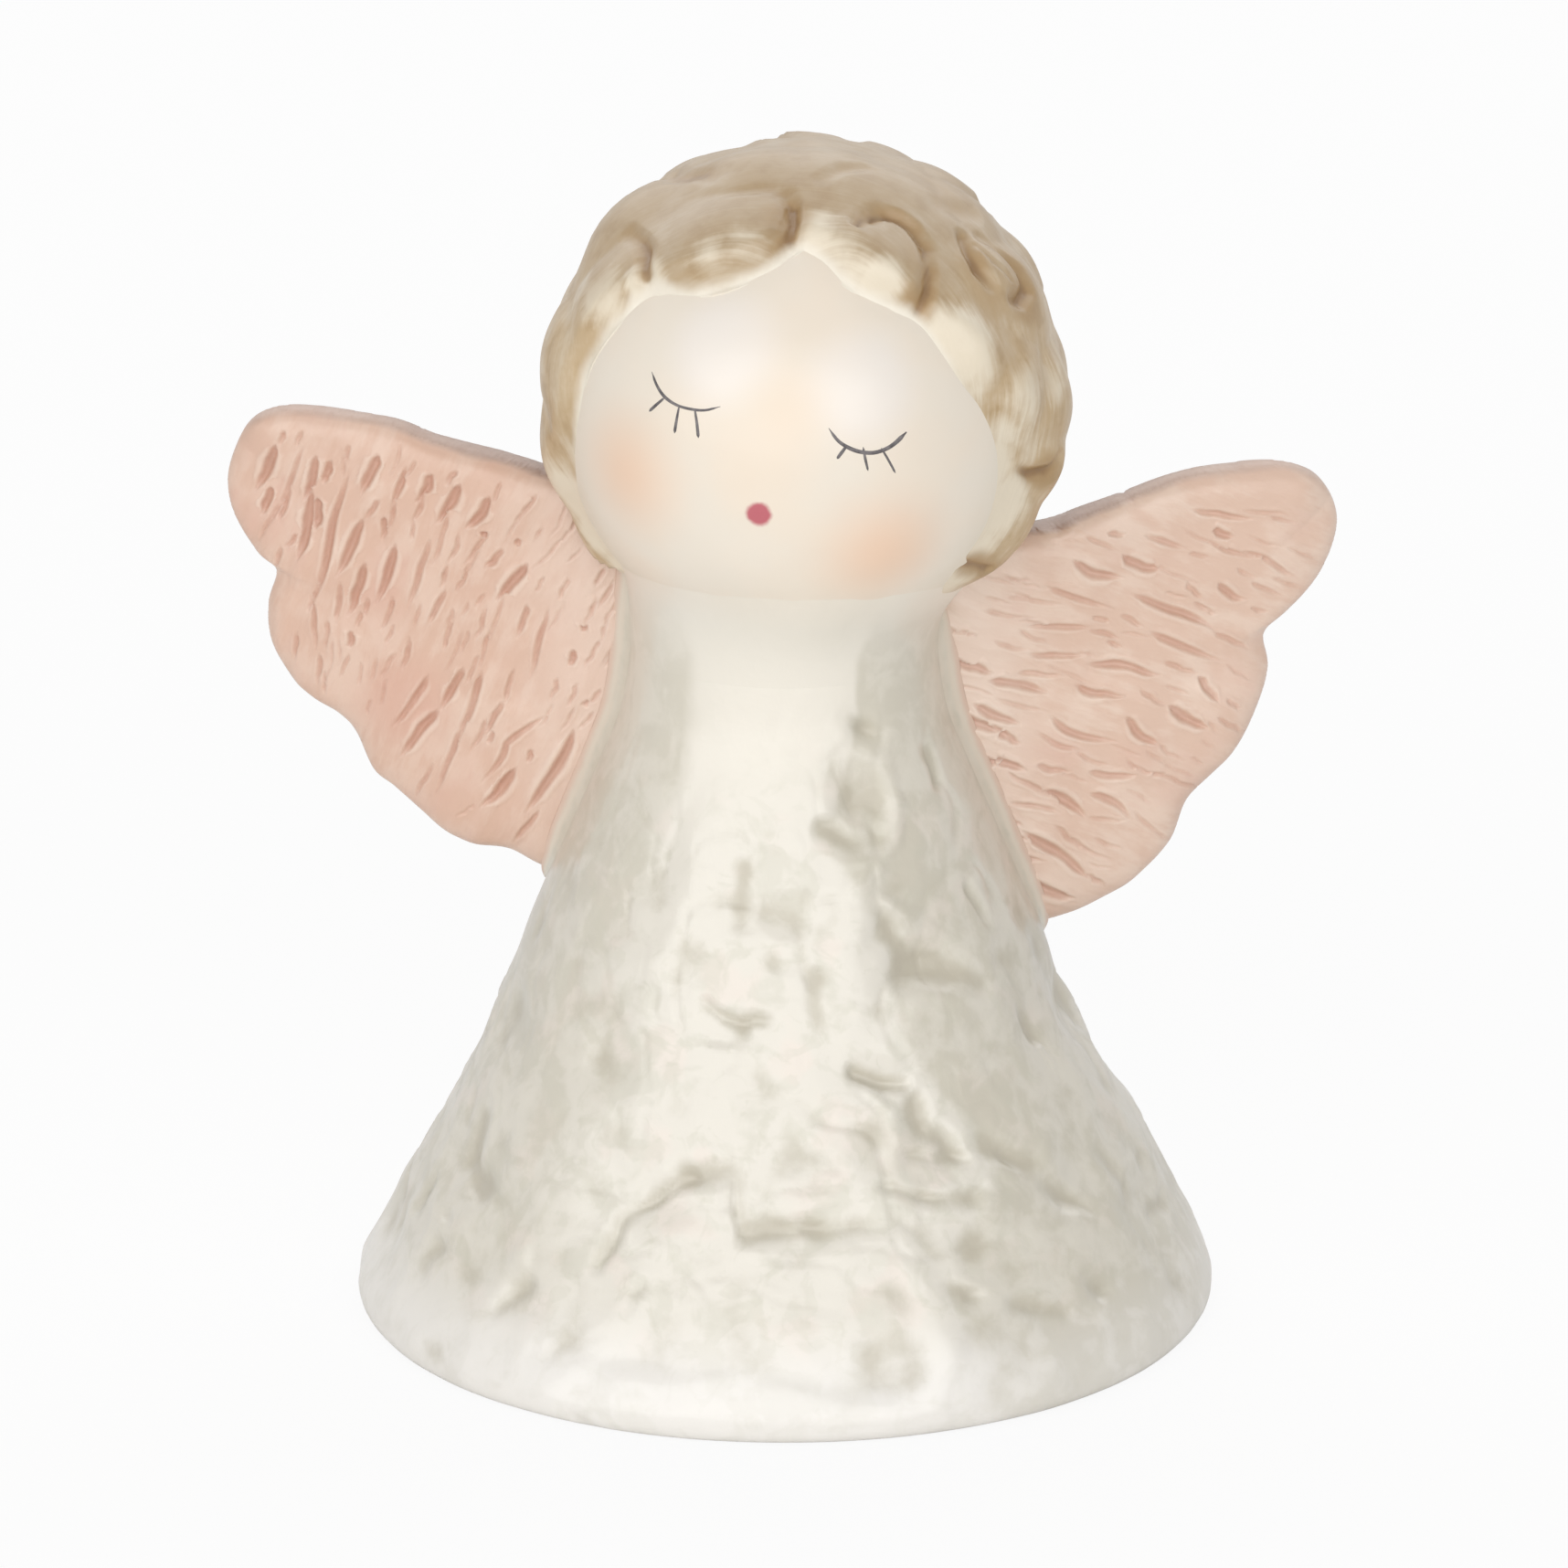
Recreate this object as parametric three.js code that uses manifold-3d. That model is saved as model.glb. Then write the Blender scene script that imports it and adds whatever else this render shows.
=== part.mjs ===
// A sleeping angel in slip-cast glazed porcelain, about 85 mm tall. The hollow bell-shaped robe, the
// hollow ball head, the cap of curls and the two wings are moulded apart, and they are luted
// together with beads of slip. Millimetres, +Z up. The face looks along -Y, and the origin is the
// centre of the foot ring, on the surface that the figure stands on.

import * as THREE from 'three';
import * as BufferGeometryUtils from 'three/addons/utils/BufferGeometryUtils.js';
import Module from 'manifold-3d';

const wasm = await Module();
wasm.setup();

// Fits: the clearance between luted pieces, and how far a cutter runs past what it cuts
const seatGap = 0.3;
const cutOverrun = 3;

// Robe: a flared bell, open underneath, whose neck carries the head
const footRadius = 30.5;
const footRounding = 1.6;
const robeWall = 2.8;
const neckRadius = 10.6;
const seatHeight = 52.9;
const robeFacets = 56;
const robeRows = 18;
const liningRows = 6;
// The flare beyond the neck's radius, and the height, each as a share of the whole
const flareShares = [[1, 0], [0.863, 0.12], [0.62, 0.3], [0.393, 0.5], [0.207, 0.68], [0.04, 0.85], [0, 1]];

// Hand-pressed hollows in the robe: place round the robe and up it, half width, half height, depth
const hollowDepth = 0.5;
const hollowShares = [
  [0.067, 0.77, 0.036, 0.07, 1],
  [0.078, 0.86, 0.024, 0.04, 0.6],
  [0.097, 0.56, 0.042, 0.045, 0.8],
  [0.056, 0.44, 0.028, 0.04, 0.8],
  [0.078, 0.32, 0.032, 0.04, 0.9],
  [0.011, 0.26, 0.042, 0.04, 0.8],
  [-0.067, 0.29, 0.036, 0.05, 0.9],
  [-0.028, 0.5, 0.032, 0.04, 0.6],
  [-0.19, 0.23, 0.036, 0.06, 0.9],
  [-0.14, 0.14, 0.042, 0.045, 0.7],
  [0.145, 0.25, 0.036, 0.05, 0.8],
  [0.2, 0.19, 0.032, 0.05, 0.8],
  [0.11, 0.12, 0.05, 0.04, 0.7],
  [0.18, 0.42, 0.032, 0.055, 0.7],
  [0.36, 0.3, 0.05, 0.06, 0.9],
  [0.45, 0.6, 0.045, 0.07, 0.8],
  [0.5, 0.2, 0.05, 0.05, 0.8],
  [-0.4, 0.4, 0.045, 0.06, 0.9],
  [-0.31, 0.26, 0.042, 0.055, 0.8],
  [-0.27, 0.6, 0.04, 0.06, 0.7],
  [0.245, 0.43, 0.05, 0.09, 1.3],
  [-0.11, 0.45, 0.04, 0.06, 0.7],
  [-0.21, 0.43, 0.042, 0.06, 0.9],
  [-0.1, 0.68, 0.045, 0.06, 0.6],
  [0, 0.63, 0.036, 0.05, 0.6],
  [0.02, 0.1, 0.045, 0.05, 0.7],
  [-0.055, 0.1, 0.042, 0.045, 0.7],
  [-0.235, 0.12, 0.042, 0.045, 0.8],
  [0.3, 0.14, 0.045, 0.05, 0.9],
  [0.29, 0.31, 0.04, 0.06, 0.9],
  [0.385, 0.13, 0.05, 0.05, 0.8],
  [0.365, 0.5, 0.036, 0.06, 0.9],
  [0.43, 0.27, 0.042, 0.05, 0.9],
  [0.425, 0.42, 0.04, 0.055, 0.8],
  [0.5, 0.42, 0.045, 0.06, 1],
  [0.5, 0.78, 0.06, 0.07, 0.6],
  [-0.44, 0.24, 0.042, 0.05, 0.9],
  [-0.445, 0.6, 0.045, 0.06, 0.8],
  [-0.36, 0.14, 0.045, 0.05, 0.8],
  [-0.33, 0.44, 0.036, 0.055, 0.8],
  [-0.385, 0.64, 0.036, 0.06, 0.7],
];

// Head: a hollow ball set a little to its own left, turned and tilted, with a firing vent underneath
const headRadius = 17;
const faceSwell = 0.9;
const faceSpread = 75;
const headWall = 2.6;
const headShift = 1.3;
const headTurn = -8.2;
const headTilt = 11.5;
const ventDiameter = 3;
const headDetail = 8;
const hollowDetail = 4;
const ventFacets = 12;

// Hair: a cap of rounded locks round the head, cut away for the face
const hairRadius = 18.15;
const hairSetBack = 0.5;
const lockRise = 0.85;
const backLockSpread = 18.5;
const hairDetail = 11;
const hairlinePoints = 56;
// The hairline seen along the face, clockwise from the parting, as shares of the head's radius
const hairlineShares = [
  [-0.07, 0.79], [0.02, 0.76], [0.12, 0.71], [0.25, 0.68], [0.37, 0.65], [0.44, 0.6],
  [0.53, 0.5], [0.64, 0.39], [0.74, 0.29], [0.82, 0.14], [0.855, -0.01], [0.855, -0.17],
  [0.83, -0.31], [0.79, -0.42], [0.73, -0.54], [0.6, -0.76], [0.33, -0.93], [0, -0.985],
  [-0.3, -0.94], [-0.48, -0.85], [-0.59, -0.77], [-0.69, -0.68], [-0.76, -0.54], [-0.82, -0.37],
  [-0.83, -0.18], [-0.83, -0.04], [-0.83, 0.1], [-0.79, 0.22], [-0.73, 0.33], [-0.68, 0.42],
  [-0.63, 0.48], [-0.53, 0.52], [-0.4, 0.56], [-0.3, 0.61], [-0.2, 0.67], [-0.13, 0.72],
];
// Locks round the face and over the crown: degrees round the head and up it, spread and rise
const faceLocks = [
  { around: -34, up: 46, spread: 20, riseShare: 1.1 },
  { around: -20, up: 49, spread: 11, riseShare: 0.6 },
  { around: 19, up: 52, spread: 17, riseShare: 1 },
  { around: 26, up: 47, spread: 9, riseShare: 0.4 },
  { around: 48, up: 31, spread: 13, riseShare: 0.7 },
  { around: 71, up: 48, spread: 13, riseShare: 0.9 },
  { around: -62, up: 22, spread: 15, riseShare: 0.65 },
  { around: -88, up: 34, spread: 20, riseShare: 1.1 },
  { around: -70, up: 66, spread: 17, riseShare: 0.6 },
  { around: -20, up: 80, spread: 20, riseShare: 0.4 },
  { around: 56, up: 72, spread: 20, riseShare: 0.6 },
  { around: 88, up: 42, spread: 17, riseShare: 0.9 },
  { around: 86, up: 14, spread: 16, riseShare: 1.1 },
  { around: 82, up: 2, spread: 13, riseShare: 1.1 },
  { around: 72, up: -12, spread: 12, riseShare: 0.9 },
  { around: 74, up: -30, spread: 14, riseShare: 0.9 },
  { around: -74, up: 3, spread: 17, riseShare: 0.8 },
  { around: -76, up: -24, spread: 16, riseShare: 0.6 },
  { around: -72, up: -48, spread: 14, riseShare: 0.6 },
  { around: 100, up: 62, spread: 18, riseShare: 0.7 },
  { around: 20, up: 76, spread: 18, riseShare: 0.4 },
  { around: -104, up: 6, spread: 16, riseShare: 0.8 },
  { around: 68, up: 22, spread: 13, riseShare: 0.5 },
];
// Locks that hang over the back of the head, all of one size: degrees round the head and up it
const backLockPlaces = [
  [128, 63], [170, 61], [212, 63], [118, 38], [142, 38], [174, 39],
  [207, 37], [240, 39], [113, 14], [141, 13], [172, 15], [203, 13],
  [234, 14], [127, -10], [157, -11], [190, -10], [221, -9], [251, -11],
  [109, -33], [140, -33], [173, -34], [205, -33], [237, -33],
];

// Neck bead: slip smoothed between the top of the robe and the underside of the head
const neckBeadDrop = 5.4;
const neckBeadSpread = 1.8;
const chinBeadReach = 2.2;
const chinBeadTurn = 0.34;
const neckBeadSteps = 3;

// Wings: thick plates with a lobed edge, which stand at the shoulders and sweep back. Each drop is
// from the middle of the head to the wing's low end.
const wingReach = 40.2;
const wingHeight = 33.1;
const wingSweep = 12;
const wingRootHalf = 2.6;
const wingTipHalf = 1.8;
const wingOutlinePoints = 66;
const wingLoopShares = [0.75, 0.9, 0.97];
const wingEdgePower = 9;
const wingCentreShares = [0.53, 0.5];
const leftWingDrop = 39.6;
const rightWingDrop = 35.5;
// Each outline goes round from the shoulder over the tip, as shares of the reach and of the height
const leftWingShares = [
  [0.478, 0.895], [0.6, 0.943], [0.7, 0.982], [0.79, 0.997], [0.891, 0.998], [0.959, 0.961],
  [0.995, 0.868], [0.969, 0.757], [0.916, 0.679], [0.866, 0.622], [0.873, 0.541], [0.847, 0.438],
  [0.812, 0.36], [0.775, 0.313], [0.727, 0.255], [0.697, 0.165], [0.634, 0.087], [0.583, 0.051],
  [0.511, 0.015], [0.43, 0.004], [0.25, 0.08], [0.127, 0.3], [0.127, 0.85], [0.3, 0.88],
];
const rightWingShares = [
  [0.422, 0.894], [0.491, 0.916], [0.621, 0.948], [0.707, 0.982], [0.847, 0.998], [0.916, 0.991],
  [0.957, 0.961], [0.985, 0.9], [1, 0.83], [0.99, 0.758], [0.952, 0.679], [0.914, 0.636],
  [0.929, 0.56], [0.924, 0.476], [0.888, 0.397], [0.855, 0.358], [0.802, 0.321], [0.771, 0.282],
  [0.74, 0.2], [0.702, 0.164], [0.654, 0.115], [0.608, 0.07], [0.557, 0.045], [0.494, 0.04],
  [0.42, 0], [0.25, 0.08], [0.127, 0.3], [0.127, 0.85], [0.3, 0.88],
];

// Wing beads: slip smoothed into the corner between each wing and the robe
const wingBeadReach = 1.1;
const wingBeadTopShare = 0.8;
const wingBeadRows = 9;
const wingBeadSteps = 3;
const wingBeadEndPower = 6;
const wingBeadEndShare = 0.12;

// Glazes
const robeGlaze = { color: '#e8e3d5', roughness: 0.2, metalness: 0 };
const faceGlaze = { color: '#f7ecd9', roughness: 0.15, metalness: 0 };
const hairGlaze = { color: '#bda67f', roughness: 0.25, metalness: 0 };
const wingGlaze = { color: '#e3b19c', roughness: 0.25, metalness: 0 };
const slipGlaze = { color: '#efe8d9', roughness: 0.2, metalness: 0 };

// Places worked out from the sizes
const headHeight = seatHeight + Math.sqrt(headRadius ** 2 - neckRadius ** 2);
const robeBlankHeight = headHeight - headRadius / 2;
const neckBeadLow = seatHeight - neckBeadDrop;
const neckBeadRadius = neckRadius + neckBeadSpread;
const leftWingLift = headHeight - leftWingDrop;
const rightWingLift = headHeight - rightWingDrop;

const figure = new THREE.Group();
const headFrame = new THREE.Group();
headFrame.position.set(headShift, 0, headHeight);
headFrame.rotation.set(0, THREE.MathUtils.degToRad(headTilt), THREE.MathUtils.degToRad(headTurn), 'ZYX');
const leftWingFrame = new THREE.Group();
leftWingFrame.rotation.z = THREE.MathUtils.degToRad(wingSweep);
const rightWingFrame = new THREE.Group();
rightWingFrame.rotation.z = Math.PI - THREE.MathUtils.degToRad(wingSweep);
figure.add(headFrame, leftWingFrame, rightWingFrame);
figure.updateMatrixWorld(true);

// A closed form with only its positions, and with its shared corners merged
function closedForm(geometry) {
  geometry.deleteAttribute('normal');
  geometry.deleteAttribute('uv');
  return BufferGeometryUtils.mergeVertices(geometry);
}

function toSolid(geometry) {
  const vertProperties = Float32Array.from(geometry.attributes.position.array);
  const triVerts = Uint32Array.from(geometry.index.array);
  return new wasm.Manifold(new wasm.Mesh({ numProp: 3, vertProperties, triVerts }));
}

function toGeometry(solid) {
  const mesh = solid.getMesh();
  const geometry = new THREE.BufferGeometry();
  geometry.setAttribute('position', new THREE.BufferAttribute(mesh.vertProperties, mesh.numProp));
  geometry.setIndex(new THREE.BufferAttribute(mesh.triVerts, 1));
  return geometry;
}

// The geometry of a piece of the given frame, after its neighbours' forms are cut from it. The
// neighbours' forms stand in the figure's frame.
function cutFrom(geometry, frame, neighbours) {
  const toFrame = frame.matrixWorld.clone().invert();
  let solid = toSolid(geometry);
  for (const neighbour of neighbours) {
    solid = solid.subtract(toSolid(neighbour.clone().applyMatrix4(toFrame)));
  }
  return toGeometry(solid);
}

function inFigure(geometry, frame) {
  return geometry.applyMatrix4(frame.matrixWorld);
}

function addPiece(name, frame, geometry, glaze) {
  const piece = new THREE.Mesh(geometry, new THREE.MeshStandardMaterial({ ...glaze, flatShading: true }));
  piece.name = name;
  frame.add(piece);
}

// A smooth swelling that is 1 at the middle and 0 from the edge outwards
function swelling(distance) {
  return distance < 1 ? (1 - distance ** 2) ** 2 : 0;
}

// A turned form whose section may change as it goes round. The turn is 0 at the front.
function turnedForm(facets, sectionAt) {
  const rows = sectionAt(0).length;
  const geometry = new THREE.LatheGeometry(sectionAt(0), facets);
  const position = geometry.attributes.position;
  for (let facet = 0; facet <= facets; facet++) {
    const turn = (facet % facets) / facets;
    const angle = turn * 2 * Math.PI;
    sectionAt(turn).forEach((point, row) => {
      position.setXYZ(facet * rows + row, point.x * Math.sin(angle), point.y, point.x * Math.cos(angle));
    });
  }
  geometry.rotateX(Math.PI / 2);
  return closedForm(geometry);
}

// A ball whose radius depends on the direction from its centre
function ballForm(detail, radiusAt) {
  const geometry = closedForm(new THREE.IcosahedronGeometry(1, detail));
  const position = geometry.attributes.position;
  const direction = new THREE.Vector3();
  for (let index = 0; index < position.count; index++) {
    direction.fromBufferAttribute(position, index).normalize();
    const radius = radiusAt(direction);
    position.setXYZ(index, direction.x * radius, direction.y * radius, direction.z * radius);
  }
  return geometry;
}

// The direction that lies so many degrees round the head from the face, and so many degrees up
function headDirection(around, up) {
  const aroundAngle = THREE.MathUtils.degToRad(around);
  const upAngle = THREE.MathUtils.degToRad(up);
  const level = Math.cos(upAngle);
  return new THREE.Vector3(level * Math.sin(aroundAngle), -level * Math.cos(aroundAngle), Math.sin(upAngle));
}

const flareCurve = new THREE.SplineCurve(flareShares.map(([flareShare, riseShare]) => new THREE.Vector2(
  neckRadius + flareShare * (footRadius - neckRadius),
  footRounding + riseShare * (seatHeight - footRounding),
)));
const flareOutline = flareCurve.getPoints(robeRows);

function robeRadiusAt(height) {
  const above = flareOutline.findIndex((point) => point.y > height);
  if (above < 1) {
    return above === 0 ? footRadius : neckRadius;
  }
  const low = flareOutline[above - 1];
  const high = flareOutline[above];
  return low.x + (high.x - low.x) * (height - low.y) / (high.y - low.y);
}

function hollowAt(turn, height) {
  let depth = 0;
  for (const [placeShare, upShare, halfWidthShare, halfHeightShare, depthShare] of hollowShares) {
    const aside = turn - placeShare - Math.round(turn - placeShare);
    const distance = Math.hypot(aside / halfWidthShare, (height / seatHeight - upShare) / halfHeightShare);
    depth += hollowDepth * depthShare * swelling(distance);
  }
  return depth;
}

// The robe's outer wall from the foot's rounding up to the neck, with its pressed hollows
function robeWallSection(turn, swell) {
  const wall = flareOutline.map((point) => new THREE.Vector2(point.x - hollowAt(turn, point.y) + swell, point.y));
  wall.push(new THREE.Vector2(neckRadius + swell, robeBlankHeight));
  return wall;
}

function robeLiningSection() {
  const lining = [new THREE.Vector2(neckRadius - robeWall, robeBlankHeight)];
  for (const point of flareCurve.getPoints(liningRows).reverse()) {
    lining.push(new THREE.Vector2(point.x - robeWall, point.y));
  }
  lining.push(new THREE.Vector2(footRadius - robeWall, 0));
  return lining;
}

function robeForm() {
  const rounding = new THREE.EllipseCurve(
    footRadius - footRounding, footRounding, footRounding, footRounding, -Math.PI / 2, 0,
  ).getPoints(3);
  rounding.pop();
  const lining = robeLiningSection();
  return turnedForm(robeFacets, (turn) => [
    ...rounding, ...robeWallSection(turn, 0), ...lining, rounding[0],
  ]);
}

// The room that the robe fills, with its hollow, when a neighbour keeps clear of it
function robeRoom() {
  return turnedForm(robeFacets, (turn) => [
    new THREE.Vector2(0, 0),
    new THREE.Vector2(footRadius + seatGap, 0),
    ...robeWallSection(turn, seatGap),
    new THREE.Vector2(0, robeBlankHeight),
  ]);
}

function headRadiusAt(direction) {
  const fromFace = THREE.MathUtils.radToDeg(direction.angleTo(headDirection(0, 0)));
  return headRadius + faceSwell * swelling(fromFace / faceSpread);
}

function headRoom() {
  return inFigure(ballForm(headDetail, (direction) => headRadiusAt(direction) + seatGap), headFrame);
}

// The vent runs straight down through the ball's wall, into the robe's neck
function ventForm() {
  const ventHeight = headWall + 2 * cutOverrun;
  const vent = new THREE.CylinderGeometry(ventDiameter / 2, ventDiameter / 2, ventHeight, ventFacets);
  vent.rotateX(Math.PI / 2);
  vent.translate(headShift, 0, headHeight - headRadius + headWall / 2);
  return closedForm(vent);
}

function headForm() {
  const hollow = inFigure(ballForm(hollowDetail, () => headRadius - headWall), headFrame);
  return cutFrom(ballForm(headDetail, headRadiusAt), headFrame, [hollow, ventForm()]);
}

// Every lock as the direction of its middle, its spread in degrees and its rise
function hairLocks() {
  const backLocks = backLockPlaces.map(([around, up]) => ({ around, up, spread: backLockSpread, riseShare: 1 }));
  return [...faceLocks, ...backLocks].map(({ around, up, spread, riseShare }) => (
    { middle: headDirection(around, up), spread, rise: lockRise * riseShare }));
}

const locks = hairLocks();

function hairRadiusAt(direction) {
  let rise = 0;
  for (const lock of locks) {
    const distance = THREE.MathUtils.radToDeg(direction.angleTo(lock.middle)) / lock.spread;
    rise = Math.max(rise, lock.rise * swelling(distance));
  }
  return hairRadius + rise;
}

function hairBall(swell) {
  const ball = ballForm(hairDetail, (direction) => hairRadiusAt(direction) + swell);
  return ball.translate(0, hairSetBack, 0);
}

// A cone from the middle of the head, which spreads through the hairline and leaves the face free
function faceOpening() {
  const reach = 2 * hairRadius;
  const hairline = new THREE.CatmullRomCurve3(hairlineShares.map(([side, up]) => (
    new THREE.Vector3(side, -Math.sqrt(1 - side ** 2 - up ** 2), up))), true);
  const corners = [new THREE.Vector3(0, 0, 0), new THREE.Vector3(0, -reach, 0)];
  for (const point of hairline.getPoints(hairlinePoints).slice(0, hairlinePoints)) {
    corners.push(point.normalize().multiplyScalar(reach));
  }
  const faces = [];
  for (let place = 0; place < hairlinePoints; place++) {
    const here = 2 + place;
    const next = 2 + (place + 1) % hairlinePoints;
    faces.push(0, here, next, 1, next, here);
  }
  return inFigure(new THREE.BufferGeometry().setFromPoints(corners).setIndex(faces), headFrame);
}

function hairForm() {
  return cutFrom(hairBall(0), headFrame, [headRoom(), faceOpening(), neckRoom()]);
}

function hairRoom() {
  return inFigure(hairBall(seatGap), headFrame);
}

// The bead's outer face: from the robe's neck, in a hollow curve, to the underside of the head. It
// climbs the chin in front, and it runs out along the head's surface.
function neckBeadCurve(turn, swell) {
  const angle = turn * 2 * Math.PI;
  const shiftAlong = headShift * Math.sin(angle);
  const shiftAcross = headShift * Math.cos(angle);
  const fromChin = Math.abs(turn - Math.round(turn)) / chinBeadTurn;
  const reach = neckBeadRadius + chinBeadReach * swelling(fromChin);
  const drop = Math.sqrt((headRadius + faceSwell * swelling(fromChin)) ** 2 - reach ** 2);
  const topRadius = shiftAlong + Math.sqrt(reach ** 2 - shiftAcross ** 2);
  const bendRadius = neckRadius + 2 * seatGap;
  const bendHeight = headHeight - drop - (topRadius - bendRadius) * reach / drop;
  const curve = new THREE.QuadraticBezierCurve(
    new THREE.Vector2(robeRadiusAt(neckBeadLow) + swell, neckBeadLow - swell),
    new THREE.Vector2(bendRadius + swell, bendHeight),
    new THREE.Vector2(topRadius + swell, headHeight - drop),
  );
  return curve.getPoints(neckBeadSteps);
}

function neckBeadForm() {
  const innerRadius = neckRadius - robeWall / 2;
  const blank = turnedForm(robeFacets, (turn) => {
    const curve = neckBeadCurve(turn, 0);
    return [
      new THREE.Vector2(innerRadius, neckBeadLow),
      ...curve,
      new THREE.Vector2(innerRadius, curve[neckBeadSteps].y),
      new THREE.Vector2(innerRadius, neckBeadLow),
    ];
  });
  return cutFrom(blank, figure, [robeRoom(), headRoom()]);
}

// The room that the neck and its bead fill, from the ground up into the head
function neckRoom() {
  return turnedForm(robeFacets, (turn) => {
    const curve = neckBeadCurve(turn, seatGap);
    return [
      new THREE.Vector2(0, 0),
      new THREE.Vector2(curve[0].x, 0),
      ...curve,
      new THREE.Vector2(curve[neckBeadSteps].x, headHeight),
      new THREE.Vector2(0, headHeight),
    ];
  });
}

// Points round a wing's edge, moved outwards by the swell
function wingOutline(shares, lift, swell) {
  const curve = new THREE.CatmullRomCurve3(shares.map(([outShare, upShare]) => (
    new THREE.Vector3(outShare * wingReach, 0, lift + upShare * wingHeight))), true, 'centripetal');
  const outline = [];
  for (let place = 0; place < wingOutlinePoints; place++) {
    const point = curve.getPointAt(place / wingOutlinePoints);
    const along = curve.getTangentAt(place / wingOutlinePoints);
    outline.push(point.add(new THREE.Vector3(-along.z, 0, along.x).multiplyScalar(swell)));
  }
  return outline;
}

function wingHalfThickness(out) {
  const share = THREE.MathUtils.clamp((out - neckRadius) / (wingReach - neckRadius), 0, 1);
  return wingRootHalf + (wingTipHalf - wingRootHalf) * share;
}

// A plate with a rounded edge: loops shrink from the edge to the middle, in front and behind
function wingForm(shares, lift, swell) {
  const outline = wingOutline(shares, lift, swell);
  const [centreOutShare, centreUpShare] = wingCentreShares;
  const centre = new THREE.Vector3(centreOutShare * wingReach, 0, lift + centreUpShare * wingHeight);
  const corners = [...outline];
  const faces = [];
  const joinLoops = (low, high, turnedOver) => {
    for (let place = 0; place < wingOutlinePoints; place++) {
      const next = (place + 1) % wingOutlinePoints;
      const quad = [low + place, low + next, high + next, high + place];
      const order = turnedOver ? [0, 2, 1, 0, 3, 2] : [0, 1, 2, 0, 2, 3];
      faces.push(...order.map((corner) => quad[corner]));
    }
  };
  for (const side of [-1, 1]) {
    let previous = 0;
    for (const loopShare of [...wingLoopShares].reverse()) {
      const first = corners.length;
      const flatness = Math.sqrt(1 - loopShare ** wingEdgePower);
      for (const edge of outline) {
        const point = centre.clone().lerp(edge, loopShare);
        point.y = side * (wingHalfThickness(point.x) + swell) * flatness;
        corners.push(point);
      }
      joinLoops(previous, first, side < 0);
      previous = first;
    }
    const middle = corners.length;
    corners.push(centre.clone().setY(side * (wingHalfThickness(centre.x) + swell)));
    for (let place = 0; place < wingOutlinePoints; place++) {
      const next = (place + 1) % wingOutlinePoints;
      const pair = side < 0 ? [previous + next, previous + place] : [previous + place, previous + next];
      faces.push(...pair, middle);
    }
  }
  return new THREE.BufferGeometry().setFromPoints(corners).setIndex(faces);
}

// Everything that a wing stands against
function wingNeighbours() {
  return [robeRoom(), neckRoom(), headRoom(), hairRoom()];
}

// Half of a bead's section on one side of the wing: level with the robe, then hollow to the wing
function wingBeadCurve(robeRadius, half, reach) {
  return new THREE.QuadraticBezierCurve(
    new THREE.Vector2(robeRadius, half + reach),
    new THREE.Vector2(robeRadius + seatGap, half + seatGap),
    new THREE.Vector2(robeRadius + reach, half),
  ).getPoints(wingBeadSteps);
}

// The section at one height, as a loop round the wing's root. The loop closes inside the robe.
function wingBeadSection(height, fullness) {
  const half = (wingHalfThickness(robeRadiusAt(height)) + 2 * seatGap) * fullness;
  const robeRadius = robeRadiusAt(height);
  const front = wingBeadCurve(robeRadius, half, wingBeadReach * fullness + seatGap);
  const loop = [new THREE.Vector2(robeRadius - robeWall, front[0].y), ...front];
  const back = loop.map((point) => new THREE.Vector2(point.x, -point.y)).reverse();
  return [...loop, ...back].map((point) => new THREE.Vector3(point.x, point.y, height));
}

function wingBeadForm(shares, lift, frame) {
  const low = lift - wingBeadReach;
  const high = lift + wingBeadTopShare * wingHeight;
  const corners = [];
  for (let row = 0; row <= wingBeadRows; row++) {
    const place = row / wingBeadRows;
    const fading = Math.abs(2 * place - 1) ** wingBeadEndPower;
    const fullness = 1 - fading * (1 - wingBeadEndShare);
    corners.push(...wingBeadSection(low + place * (high - low), fullness));
  }
  const around = corners.length / (wingBeadRows + 1);
  const faces = [];
  for (let place = 0; place < around; place++) {
    const next = (place + 1) % around;
    for (let row = 0; row < wingBeadRows; row++) {
      const low0 = row * around;
      const high0 = low0 + around;
      faces.push(low0 + next, low0 + place, high0 + place, low0 + next, high0 + place, high0 + next);
    }
  }
  const top = wingBeadRows * around;
  for (let place = 1; place < around - 1; place++) {
    faces.push(0, place, place + 1, top, top + place + 1, top + place);
  }
  const blank = new THREE.BufferGeometry().setFromPoints(corners).setIndex(faces);
  const wingRoom = inFigure(wingForm(shares, lift, seatGap), frame);
  return cutFrom(blank, frame, [...wingNeighbours(), wingRoom]);
}

addPiece('robe', figure, cutFrom(robeForm(), figure, [headRoom()]), robeGlaze);
addPiece('head', headFrame, headForm(), faceGlaze);
addPiece('hair', headFrame, hairForm(), hairGlaze);
addPiece('neck_slip_bead', figure, neckBeadForm(), slipGlaze);
const wings = [
  ['left_wing', leftWingFrame, leftWingShares, leftWingLift],
  ['right_wing', rightWingFrame, rightWingShares, rightWingLift],
];
for (const [name, frame, shares, lift] of wings) {
  addPiece(name, frame, cutFrom(wingForm(shares, lift, 0), frame, wingNeighbours()), wingGlaze);
  addPiece(`${name}_slip_bead`, frame, wingBeadForm(shares, lift, frame), slipGlaze);
}

export default figure;
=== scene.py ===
import math

import bpy
import numpy as np
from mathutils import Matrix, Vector
from mathutils.geometry import delaunay_2d_cdt


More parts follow.
